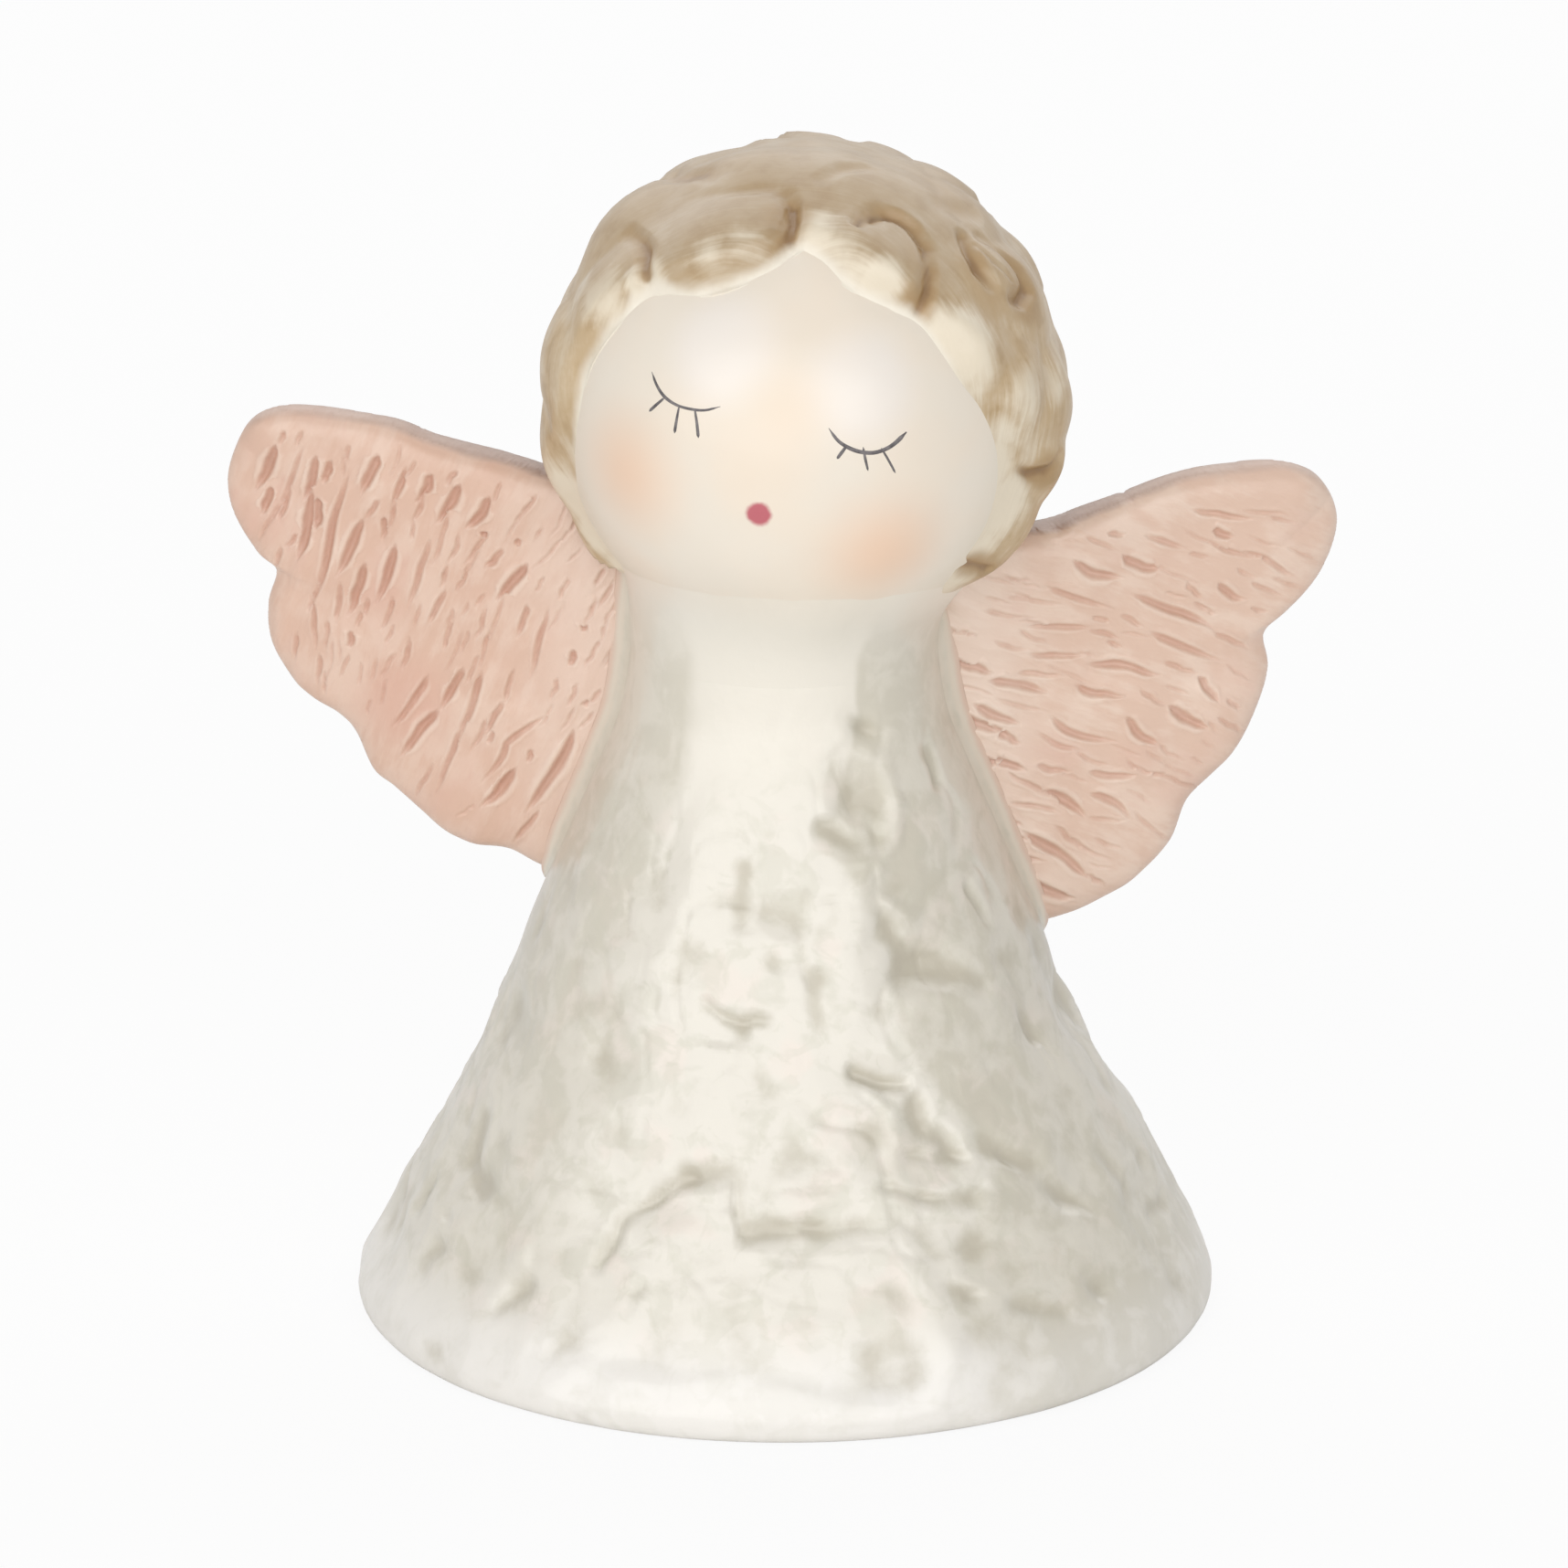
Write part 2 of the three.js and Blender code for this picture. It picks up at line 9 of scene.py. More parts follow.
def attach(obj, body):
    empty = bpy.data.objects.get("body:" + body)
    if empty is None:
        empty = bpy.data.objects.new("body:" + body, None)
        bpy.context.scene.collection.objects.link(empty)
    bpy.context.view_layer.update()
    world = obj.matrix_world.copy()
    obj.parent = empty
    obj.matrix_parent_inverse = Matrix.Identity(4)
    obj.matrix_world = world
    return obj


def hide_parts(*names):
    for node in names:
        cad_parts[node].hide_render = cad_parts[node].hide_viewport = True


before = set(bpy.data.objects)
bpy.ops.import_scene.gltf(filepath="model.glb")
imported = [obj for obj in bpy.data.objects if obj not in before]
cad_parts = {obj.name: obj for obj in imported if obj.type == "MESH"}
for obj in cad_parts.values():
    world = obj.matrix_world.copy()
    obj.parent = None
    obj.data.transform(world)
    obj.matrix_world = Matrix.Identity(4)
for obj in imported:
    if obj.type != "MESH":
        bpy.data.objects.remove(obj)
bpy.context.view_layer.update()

# Camera
# The figure stands on a table and is seen from straight in front, from a little above, through
# a long lens.
CAMERA_DROP = math.radians(18.3)
CAMERA_DISTANCE = 0.735
CAMERA_TARGET = Vector((0, 0, 0.0381))

camera = bpy.data.objects.new("camera", bpy.data.cameras.new("camera"))
sight = Vector((0, -math.cos(CAMERA_DROP), math.sin(CAMERA_DROP)))
camera.location = CAMERA_TARGET + CAMERA_DISTANCE * sight
camera.rotation_euler = (math.pi / 2 - CAMERA_DROP, 0, 0)
camera.data.sensor_width = 36
camera.data.lens = 239.2
camera.data.clip_start = 0.05
camera.data.clip_end = 20
bpy.context.scene.collection.objects.link(camera)
bpy.context.scene.camera = camera

# Robe
# A hollow bell, slip-cast in a plaster mould from a hand-pressed model, so its wall is full of
# soft thumb marks and short tool cuts. A thin grey wash lies in the hollows, under a clear glossy
# glaze. Down both sides the grey is laid on thicker, and there it is partly painted shade; the upper
# neck is painted a little paler as a painted highlight. The foot ring and the inside are left as bare
# fired clay.
MM = 0.001
ROBE_FACETS = 368
ROBE_ROWS = 205
LINING_ROWS = 26
ROBE_WALL = 2.8
NECK_HOLE = 7.8
WING_SLOPE = 0.2126
ROBE_MARK_SHARE = 0.8
THUMB_MARKS = 400
SIDE_DENTS = 130
# The outside from the foot ring's edge up to the head: radius and height
ROBE_OUTSIDE = [
    (29.3, 0), (30.05, 0.2), (30.45, 0.7), (30.55, 1.4), (30.3, 2.5), (29.45, 4.3), (28, 7.1),
    (26.5, 9.9), (24.85, 12.9), (23.35, 15.8), (21.8, 18.8), (20.4, 21.8), (19.15, 24.8),
    (18.15, 27.7), (17.1, 30.3), (15.95, 33.1), (14.55, 36.6), (12.85, 40.8), (11.55, 44.4),
    (10.9, 48.6), (10.6, 53.2),
]
# Broad hollows that hands left: degrees round the robe, height, half width in degrees, half height
# and depth
ROBE_HOLLOWS = [
    (24.1, 40.7, 13, 3.7, 0.5), (28.1, 45.5, 8.6, 2.1, 0.3), (34.9, 29.6, 15.1, 2.4, 0.4),
    (20.2, 23.3, 10.1, 2.1, 0.4), (28.1, 16.9, 11.5, 2.1, 0.45), (4, 13.8, 15.1, 2.1, 0.4),
    (-24.1, 15.3, 13, 2.6, 0.45), (-10.1, 26.4, 11.5, 2.1, 0.3), (-68.4, 12.2, 13, 3.2, 0.45),
    (-50.4, 7.4, 15.1, 2.4, 0.35), (52.2, 13.2, 13, 2.6, 0.4), (72, 10.1, 11.5, 2.6, 0.4),
    (39.6, 6.3, 18, 2.1, 0.35), (64.8, 22.2, 11.5, 2.9, 0.35), (129.6, 15.9, 18, 3.2, 0.45),
    (162, 31.7, 16.2, 3.7, 0.4), (180, 10.6, 18, 2.6, 0.4), (-144, 21.2, 16.2, 3.2, 0.45),
    (-111.6, 13.8, 15.1, 2.9, 0.4), (-97.2, 31.7, 14.4, 3.2, 0.35), (88.2, 22.7, 18, 4.8, 0.65),
    (-39.6, 23.8, 14.4, 3.2, 0.35), (-75.6, 22.7, 15.1, 3.2, 0.45), (-36, 36, 16.2, 3.2, 0.3),
    (0, 33.3, 13, 2.6, 0.3), (7.2, 5.3, 16.2, 2.6, 0.35), (-19.8, 5.3, 15.1, 2.4, 0.35),
    (-84.6, 6.3, 15.1, 2.4, 0.4), (108, 7.4, 16.2, 2.6, 0.45), (104.4, 16.4, 14.4, 3.2, 0.45),
    (138.6, 6.9, 18, 2.6, 0.4), (131.4, 26.4, 13, 3.2, 0.45), (154.8, 14.3, 15.1, 2.6, 0.45),
    (153, 22.2, 14.4, 2.9, 0.4), (180, 22.2, 16.2, 3.2, 0.5), (180, 41.3, 21.6, 3.7, 0.3),
    (-158.4, 12.7, 15.1, 2.6, 0.45), (-160.2, 31.7, 16.2, 3.2, 0.4), (-129.6, 7.4, 16.2, 2.6, 0.4),
    (-118.8, 23.3, 13, 2.9, 0.4), (-138.6, 33.9, 13, 3.2, 0.35),
]
# Marks pressed and cut into the front: half width and depth, then the line that each follows as
# degrees round the robe, height and strength
ROBE_MARKS = [
    (1.7, 0.75, [(25, 46.2, 0.5), (29, 45.2, 1), (33, 45, 0.5)]),
    (2.4, 0.5, [(16, 42.5, 0.7), (22, 41, 1), (29, 40.8, 0.8)]),
    (1.7, 0.5, [(14, 38.8, 1), (20, 38.2, 1), (26, 38.4, 0.6)]),
    (1.1, -0.3, [(36, 43, 0.6), (36, 40.5, 1), (32, 38, 1), (26, 36.2, 0.7)]),
    (2.2, 0.7, [(26, 32.2, 0.7), (31, 30, 1), (40, 29.2, 1), (48, 27.6, 0.5)]),
    (1.2, -0.35, [(28, 33.6, 1), (32, 33, 0.6)]),
    (1.1, 0.5, [(55, 33.4, 1), (56, 31.4, 0.7)]),
    (1, 0.5, [(55, 43, 0.6), (56, 40.4, 1)]),
    (0.9, 0.5, [(-16, 28, 0.8), (-13, 26.6, 1), (-8, 26.1, 1), (-3, 26.8, 0.8)]),
    (0.8, 0.3, [(-7, 25.8, 0.8), (-9, 23.6, 0.5)]),
    (0.9, 0.85, [(15.5, 23.4, 1), (19, 22.9, 1), (24, 22.4, 0.7)]),
    (0.9, -0.35, [(17, 22, 0.6), (21, 20.6, 1), (21, 18.6, 1), (20, 16.8, 0.6)]),
    (1.5, 0.65, [(26, 20.8, 0.8), (26.5, 18.9, 1), (31, 18.2, 1)]),
    (0.9, 0.65, [(23.5, 17.7, 0.8), (29, 17.2, 1), (34, 17.4, 0.6)]),
    (0.8, 0.6, [(16, 15.9, 0.6), (23, 15, 1), (32, 14.8, 0.9), (35, 15.4, 0.5)]),
    (1.3, 0.5, [(-7, 13.4, 1), (-3, 14, 0.9), (1, 14.3, 0.5), (5, 14.2, 0.7)]),
    (0.9, 0.3, [(2, 14.2, 0.8), (7, 13.5, 1), (12, 14.1, 0.5), (18, 13.5, 0.7)]),
    (1.5, 0.15, [(2, 19.5, 0.5), (-2, 17.4, 1), (-3, 15.8, 0.5)]),
    (1.3, 0.15, [(5, 18.4, 1), (9, 17.2, 0.7)]),
    (0.8, 0.42, [(-11, 18.8, 0.2), (-8.8, 17.2, 0.6), (-9.8, 15.4, 1), (-7.6, 13.6, 1)]),
    (0.7, -0.3, [(-12, 17.2, 0.6), (-11.6, 14.6, 1), (-11, 12.4, 0.6)]),
    (1.5, 0.55, [(-13, 17.2, 0.9), (-18, 16.5, 1)]),
    (0.9, 0.6, [(-17, 16.5, 1), (-24, 15, 1), (-29, 13, 1), (-30, 10.6, 0.8)]),
    (1.6, 0.55, [(-68, 16, 0.6), (-66, 13.4, 1), (-60, 12, 0.5)]),
    (1.2, 0.5, [(-76, 10.6, 0.8), (-77, 8.6, 1)]),
    (0.9, 0.4, [(-67, 10, 1), (-64, 9.6, 0.6)]),
    (1.3, 0.5, [(-64, 7.6, 1), (-66, 6, 0.7)]),
    (1.1, 0.45, [(-43, 8.4, 1), (-47, 6.4, 0.8)]),
    (1, 0.35, [(-32, 5.6, 1), (-34, 4.4, 0.6)]),
    (0.9, 0.3, [(-23, 9.5, 1), (-24, 8, 0.6)]),
    (1.4, 0.7, [(38, 18.4, 0.6), (42, 16.6, 1), (47, 15.2, 0.7)]),
    (1.2, 0.6, [(49, 13.6, 0.6), (52, 12.2, 1), (55, 11.2, 0.5)]),
    (1.5, 0.45, [(64, 14.4, 0.7), (66, 12.8, 1), (68, 11.6, 0.6)]),
    (1.2, 0.5, [(60, 24, 0.5), (62, 22.8, 1), (65, 21, 0.6)]),
    (0.9, -0.4, [(63, 21.6, 0.9), (64, 20.4, 0.6)]),
    (1.4, 0.4, [(76, 13.6, 0.6), (79, 12, 1)]),
    (1, 0.4, [(74, 8.6, 0.7), (79, 8.2, 1), (82, 9.4, 0.6)]),
    (1.3, 0.45, [(25, 9.2, 0.7), (28, 8.2, 1)]),
    (1.1, 0.45, [(35, 7.4, 1), (40, 7, 1), (43, 6, 0.7)]),
    (1, 0.45, [(50, 8, 0.6), (52, 6.6, 1)]),
    (1, 0.3, [(68, 4.8, 1), (71, 4.2, 0.6)]),
    (2.4, -0.3, [(20, 36, 0.6), (17, 31, 1), (14, 26, 0.8)]),
    (2.2, -0.3, [(15, 13, 0.5), (20, 10, 1), (22, 6, 1), (23, 2.4, 0.8)]),
    (2.6, 0.3, [(31, 12, 1), (35, 9.6, 0.6)]),
    (2.4, -0.25, [(-20, 41, 0.6), (-24, 36, 1), (-30, 30, 0.8)]),
    (4, 0.6, [(80, 29, 0.4), (86, 25, 1), (90, 21, 0.7)]),
    (1, 0.2, [(-4, 50, 0.6), (-4, 47, 1), (-5, 45, 0.4)]),
    (1.6, 0.3, [(-11, 36.4, 1), (-9, 33.6, 0.8)]),
    (1.5, 0.3, [(-1, 31, 1), (4, 31.2, 0.6)]),
    (1.2, 0.3, [(7, 30, 1), (8, 27.8, 0.6)]),
    (0.7, 0.6, [(-29, 0.8, 1), (-26.5, 0.8, 0.6)]),
]
# The edge of the thicker wash and painted shade on the figure's left, along the edge of the front
# highlight: degrees round the robe and height
SHADE_AND_WASH_EDGE = [
    (27, 2), (28, 5), (24, 9), (24, 12), (33, 14), (36, 17), (32, 20), (27, 23), (24, 26), (25, 30),
    (21, 33), (14, 36), (12, 40), (16, 43), (24, 46), (24, 52),
]


def smooth_curve(points, count):
    """So many evenly spaced points on a smooth curve that passes through the given ones."""
    given = np.asarray(points, float)
    given = np.vstack([2 * given[0] - given[1], given, 2 * given[-1] - given[-2]])
    step = np.linspace(0, 1, 24, endpoint=False)[:, None]
    spans = []
    for a, b, c, d in zip(given, given[1:], given[2:], given[3:]):
        spans.append(b + (c - a) * step / 2 + (a - 2.5 * b + 2 * c - d / 2) * step ** 2
                     + (1.5 * b - a / 2 - 1.5 * c + d / 2) * step ** 3)
    fine = np.vstack([*spans, given[-2:-1]])
    length = np.r_[0, np.cumsum(np.linalg.norm(np.diff(fine, axis=0), axis=1))]
    even = np.linspace(0, length[-1], count)
    return np.stack([np.interp(even, length, column) for column in fine.T], 1)


def swelling(distance):
    """1 in the middle of a mark and 0 from its edge outwards."""
    return np.clip(1 - np.square(distance), 0, 1) ** 2


def pressed(points, line, half_width):
    """How strongly a mark along the line acts on each point. A line's corner has a place and a strength."""
    line = np.asarray(line, float)
    pull = np.zeros(len(points))
    for (*a, strength_a), (*b, strength_b) in zip(line[:-1], line[1:]):
        a, along = np.array(a), np.subtract(b, a)
        share = np.clip((points - a) @ along / (along @ along), 0, 1)
        distance = np.linalg.norm(points - a - share[:, None] * along, axis=1)
        strength = strength_a + (strength_b - strength_a) * share
        pull = np.maximum(pull, strength * swelling(distance / half_width))
    return pull


def waves(points, size, seed):
    """Smooth seeded unevenness from -1 to 1, with lumps of about the given size."""
    lattice = np.random.default_rng(seed).uniform(-1, 1, (24, 24, 24))
    place = points / size + 240
    cell = np.floor(place).astype(int)
    share = place - cell
    share = share ** 3 * (share * (6 * share - 15) + 10)
    total = np.zeros(len(points))
    for corner in np.ndindex(2, 2, 2):
        weight = np.prod(np.where(corner, share, 1 - share), axis=1)
        total += weight * lattice[tuple(((cell + corner) % 24).T)]
    return total


def blurred(grid, rounds):
    """A grid that closes on itself sideways, smoothed over a few cells."""
    for _ in range(rounds):
        for reach in (1, 2):
            grid = (2 * grid + np.roll(grid, reach, 1) + np.roll(grid, -reach, 1)) / 4
            padded = np.pad(grid, ((reach, reach), (0, 0)), "edge")
            grid = (2 * grid + padded[2 * reach:] + padded[:-2 * reach]) / 4
    return grid


def ring_faces(rows, columns, closed=False):
    """Quads between neighbouring rows of corners. Each row closes on itself, and the rows may too."""
    low = np.arange(rows if closed else rows - 1)[:, None] * columns
    high = (low + columns) % (rows * columns)
    here = np.arange(columns)[None]
    there = (here + 1) % columns
    return np.stack([low + here, low + there, high + there, high + here], -1).reshape(-1, 4)


def cap_faces(ring, middle, turned=False):
    """Triangles from a ring of corners to the corner in its middle."""
    ring = np.asarray(ring)
    pair = (np.roll(ring, -1), ring) if turned else (ring, np.roll(ring, -1))
    return np.stack([*pair, np.full(len(ring), middle)], -1)


def new_piece(name, corners, *faces, **fields):
    """A smooth mesh object from corners in millimetres, blocks of faces and values on the corners."""
    mesh = bpy.data.meshes.new(name)
    mesh.vertices.add(len(corners))
    mesh.vertices.foreach_set("co", (np.asarray(corners) * MM).astype(np.float32).ravel())
    loops = np.concatenate([block.ravel() for block in faces])
    sizes = np.concatenate([np.full(len(block), block.shape[1]) for block in faces])
    mesh.loops.add(len(loops))
    mesh.loops.foreach_set("vertex_index", loops.astype(np.int32))
    mesh.polygons.add(len(sizes))
    mesh.polygons.foreach_set("loop_start", (np.cumsum(sizes) - sizes).astype(np.int32))
    mesh.polygons.foreach_set("use_smooth", np.ones(len(sizes), bool))
    mesh.update(calc_edges=True)
    for field, values in fields.items():
        values = np.asarray(values, np.float32)
        kind, key = ("FLOAT_VECTOR", "vector") if values.shape[-1] == 3 else ("FLOAT", "value")
        attribute = mesh.attributes.new(field, kind, "POINT")
        attribute.data.foreach_set(key, values.ravel())
    piece = bpy.data.objects.new(name, mesh)
    bpy.context.scene.collection.objects.link(piece)
    return piece


def robe_radius(height):
    outside = smooth_curve(ROBE_OUTSIDE, 400)
    return np.interp(height, outside[:, 1], outside[:, 0])


def robe_point(degrees, height):
    turn = math.radians(degrees)
    radius = robe_radius(height)
    return radius * math.sin(turn), -radius * math.cos(turn), height


def thumb_marks(points, count, seed):
    """Shallow bowls side by side, with a soft ridge wherever two of them meet."""
    draw = np.random.default_rng(seed)
    middles = [robe_point(draw.uniform(-180, 180), 48 * draw.uniform(0, 1) ** 1.3) for _ in range(count)]
    total = np.zeros(len(points))
    for middle in middles:
        total += np.exp(-1.5 * np.sum(np.square((points - middle) * (1, 1, 0.75)), axis=1))
    return np.minimum(-np.log(total + 1e-9) / 1.5, 12)


def hand_hollows(points):
    """How deep the broad hollows are at each point. Their edges wander a little."""
    points = points + 0.9 * np.stack([waves(points, 3.4, seed) for seed in (24, 25, 26)], 1)
    round_robe = np.degrees(np.arctan2(points[:, 0], -points[:, 1]))
    depths = np.zeros(len(points))
    for degrees, height, half_width, half_height, depth in ROBE_HOLLOWS:
        aside = (round_robe - degrees + 180) % 360 - 180
        depths += depth * swelling(np.hypot(aside / half_width, (points[:, 2] - height) / half_height))
    return depths


def robe_relief(points):
    """How far the robe's wall is raised at each point by its marks and its lumps."""
    calm = 1 - 0.75 * np.clip((points[:, 2] - 34) / 12, 0, 1)
    lumps = 0.09 * waves(points, 4.2, 4) + 0.05 * waves(points, 1.9, 5)
    raised = 0.05 * waves(points, 8.5, 3) + calm * lumps
    raised += 0.02 * calm * (thumb_marks(points, THUMB_MARKS, 12) - 5)
    broken = np.clip(waves(points, 7, 7) * 2.5 + 0.4, 0, 1) * calm
    smooth_foot = np.clip((points[:, 2] - 3) / 7, 0, 1)
    raised -= 0.12 * broken * smooth_foot * swelling(waves(points, 4.6, 6) / 0.15)
    raised -= 0.06 * calm * smooth_foot * swelling(waves(points, 2.7, 10) / 0.18)
    unsteady = points + 0.7 * np.stack([waves(points, 2.6, seed) for seed in (21, 22, 23)], 1)
    for half_width, depth, line in ROBE_MARKS:
        placed = [(*robe_point(degrees, height), strength) for degrees, height, strength in line]
        raised -= ROBE_MARK_SHARE * depth * pressed(unsteady, placed, half_width)
    draw = np.random.default_rng(17)
    for _ in range(SIDE_DENTS):
        degrees, height = draw.uniform(-180, 180), draw.uniform(4, 45)
        half_width, depth = draw.uniform(0.8, 1.8), draw.uniform(0.1, 0.28)
        slant, drop = draw.uniform(-5, 5), draw.uniform(1, 3)
        if abs(degrees) > 62:
            ends = [(*robe_point(degrees, height), 1), (*robe_point(degrees + slant, height - drop), 0.6)]
            raised -= depth * pressed(unsteady, ends, half_width)
    return raised


def veil_at(points):
    """Where the wash is thicker and shade is painted: both sides, less at the foot, ragged on the left."""
    degrees = np.degrees(np.arctan2(points[:, 0], -points[:, 1]))
    ragged = 3.5 * waves(points, 3.5, 8) + 1.5 * waves(points, 1.4, 9)
    left_edge = np.interp(points[:, 2], *np.array(SHADE_AND_WASH_EDGE).T[::-1])
    left = np.clip((degrees - left_edge + ragged) / 5, 0, 1)
    neck = swelling(np.clip((44 - points[:, 2]) / 12, 0, 1))
    right = np.clip((-27 - 3 * neck - degrees + (3 - 2 * neck) * ragged) / (22 - 14 * neck), 0, 1)
    off_foot = np.clip((points[:, 2] - 2) / 6, 0, 1)
    return np.maximum(left, right * (0.62 + 0.14 * neck)) * (0.5 + 0.5 * off_foot)


# The facets lie closer together in front, where the marks are
turns = np.linspace(0, 2 * np.pi, ROBE_FACETS, endpoint=False)
turns = turns - 0.22 * np.sin(turns)
outside = smooth_curve(ROBE_OUTSIDE, ROBE_ROWS)
heights = outside[:, 1]
wall_inside = [(max(radius - ROBE_WALL, NECK_HOLE), height) for radius, height in ROBE_OUTSIDE[::-1][1:-5]]
lining = smooth_curve([(NECK_HOLE, 51.6), *wall_inside, (27.8, 2.4), (27.75, 0.4)], LINING_ROWS)
section = np.vstack([outside, lining, [(27.9, 0), (28.6, 0)]])
around = np.stack([np.sin(turns), -np.cos(turns)], -1)
rings = np.concatenate([
    section[:, None, :1] * around[None],
    np.broadcast_to(section[:, None, 1:], (len(section), ROBE_FACETS, 1)),
], axis=2)
wall_points = rings[:ROBE_ROWS].reshape(-1, 3)
relief, hollows = (
    raised(wall_points).reshape(ROBE_ROWS, ROBE_FACETS) for raised in (robe_relief, hand_hollows))
# Foot ring and neck are smooth
calm = (np.clip(heights / 2.2, 0, 1) * np.clip((48.4 - heights) / 5, 0, 1))[:, None]
# The wall is smoothed where a wing is luted on
wing_gap = np.abs(rings[:ROBE_ROWS, :, 1] - WING_SLOPE * np.abs(rings[:ROBE_ROWS, :, 0]))
near_wing = np.clip((8.5 - wing_gap) / 3.5, 0, 1) * np.clip((heights - 22) / 4, 0, 1)[:, None]
calm = calm * (1 - near_wing * (3 - 2 * near_wing) * near_wing)
grained = calm * (relief - 0.3 * hollows)
relief = calm * (relief - hollows)
tangent = np.gradient(outside, axis=0)
tangent /= np.linalg.norm(tangent, axis=1)[:, None]
lift = relief[..., None] * np.concatenate([
    tangent[:, None, 1:] * around[None], np.broadcast_to(-tangent[:, None, :1], (ROBE_ROWS, ROBE_FACETS, 1)),
], axis=2)
# The bell leans a little to its own left between the foot and the waist
lean = 0.45 * swelling((heights - 11) / 13)
rings[:ROBE_ROWS] += lift
rings[:ROBE_ROWS, :, 0] += lean[:, None]
pooled = np.clip((blurred(grained, 6) - grained) / 0.09, 0, 1)
wash = np.zeros(rings.shape[:2])
wash[:ROBE_ROWS] = blurred(pooled, 1)
veil = np.zeros(rings.shape[:2])
veil[:ROBE_ROWS] = veil_at(wall_points).reshape(relief.shape)
bare = np.ones(rings.shape[:2])
bare[2:ROBE_ROWS] = 0
robe = new_piece(
    "robe_bell", rings.reshape(-1, 3), ring_faces(len(section), ROBE_FACETS, closed=True)[:, ::-1],
    wash=wash, bare=bare, veil=veil,
)


class Wire:
    """A socket of a node tree that Python's arithmetic can be written on."""

    def __init__(self, tree, socket=None):
        self.tree, self.socket = tree, socket

    def node(self, kind, settings={}, values={}, out=0):
        made = self.tree.nodes.new(kind)
        for name, setting in settings.items():
            setattr(made, name, setting)
        for name, value in values.items():
            if isinstance(value, Wire):
                self.tree.links.new(value.socket, made.inputs[name])
            else:
                made.inputs[name].default_value = value
        return Wire(self.tree, made.outputs[out] if made.outputs else None)

    def math(self, operation, first, second=0.0):
        return self.node("ShaderNodeMath", {"operation": operation}, {0: first, 1: second})

    def __add__(self, other):
        return self.math("ADD", self, other)

    def __sub__(self, other):
        return self.math("SUBTRACT", self, other)

    def __rsub__(self, other):
        return self.math("SUBTRACT", other, self)

    def __mul__(self, other):
        return self.math("MULTIPLY", self, other)

    def __truediv__(self, other):
        return self.math("DIVIDE", self, other)

    __radd__ = __add__
    __rmul__ = __mul__

    def ease(self, start, end):
        """0 up to the start, 1 from the end on, and smooth between them. The end may be the lower one."""
        if end < start:
            return 1 - self.ease(end, start)
        return self.node("ShaderNodeMapRange", {"interpolation_type": "SMOOTHSTEP"},
                         {"Value": self, "From Min": start, "From Max": end})

    def noise(self, coordinates, size, detail=2.0, roughness=0.5, distortion=0.0):
        """Noise from 0 to 1 with lumps of the given size in millimetres."""
        return self.node("ShaderNodeTexNoise", {}, {
            "Vector": coordinates, "Scale": 1 / (size * MM), "Detail": detail,
            "Roughness": roughness, "Distortion": distortion,
        })

    def near(self, coordinates, point):
        """The distance in millimetres from a point that is given in millimetres."""
        ends = {0: coordinates, 1: tuple(float(x) * MM for x in point)}
        return self.node("ShaderNodeVectorMath", {"operation": "DISTANCE"}, ends, out="Value") / MM

    def paint(self, under, over, amount):
        """The over colour laid on the under colour."""
        under, over = (colour if isinstance(colour, Wire) else (*colour, 1) for colour in (under, over))
        return self.node("ShaderNodeMix", {"data_type": "RGBA"}, {0: amount, 6: under, 7: over}, out=2)

    def height(self, coordinates):
        return self.node("ShaderNodeSeparateXYZ", {}, {0: coordinates}, out="Z") / MM

    def vector(self, operation, values):
        return self.node("ShaderNodeVectorMath", {"operation": operation}, values)

    def field(self, name):
        return self.node("ShaderNodeAttribute", {"attribute_name": name}, out="Fac")

    def stored(self, name, kind="FLOAT"):
        return self.node("GeometryNodeInputNamedAttribute", {"data_type": kind}, {"Name": name})

    def shape(self, piece):
        """Another object's geometry, in its own place."""
        settings = {"transform_space": "ORIGINAL"}
        return self.node("GeometryNodeObjectInfo", settings, {"Object": piece}, out="Geometry")

    def resampled(self, curve, length):
        values = {"Curve": curve, "Length": length * MM}
        return self.node("GeometryNodeResampleCurve", {"mode": "LENGTH"}, values)

    def bump(self, height, depth, normal=None):
        values = {"Height": height, "Distance": depth * MM, "Strength": 1.0}
        if normal is not None:
            values["Normal"] = normal
        return self.node("ShaderNodeBump", {}, values)


def new_glaze(name, finish):
    """A fired glaze. The finish function gets the tree and gives what changes over the surface."""
    material = bpy.data.materials.new(name)
    material.use_nodes = True
    tree = material.node_tree
    tree.nodes.clear()
    start = Wire(tree)
    coordinates = start.node("ShaderNodeTexCoord", out="Object")
    shader = start.node("ShaderNodeBsdfPrincipled", {}, {"IOR": 1.5, **finish(start, coordinates)})
    start.node("ShaderNodeOutputMaterial", {}, {"Surface": shader})
    return material


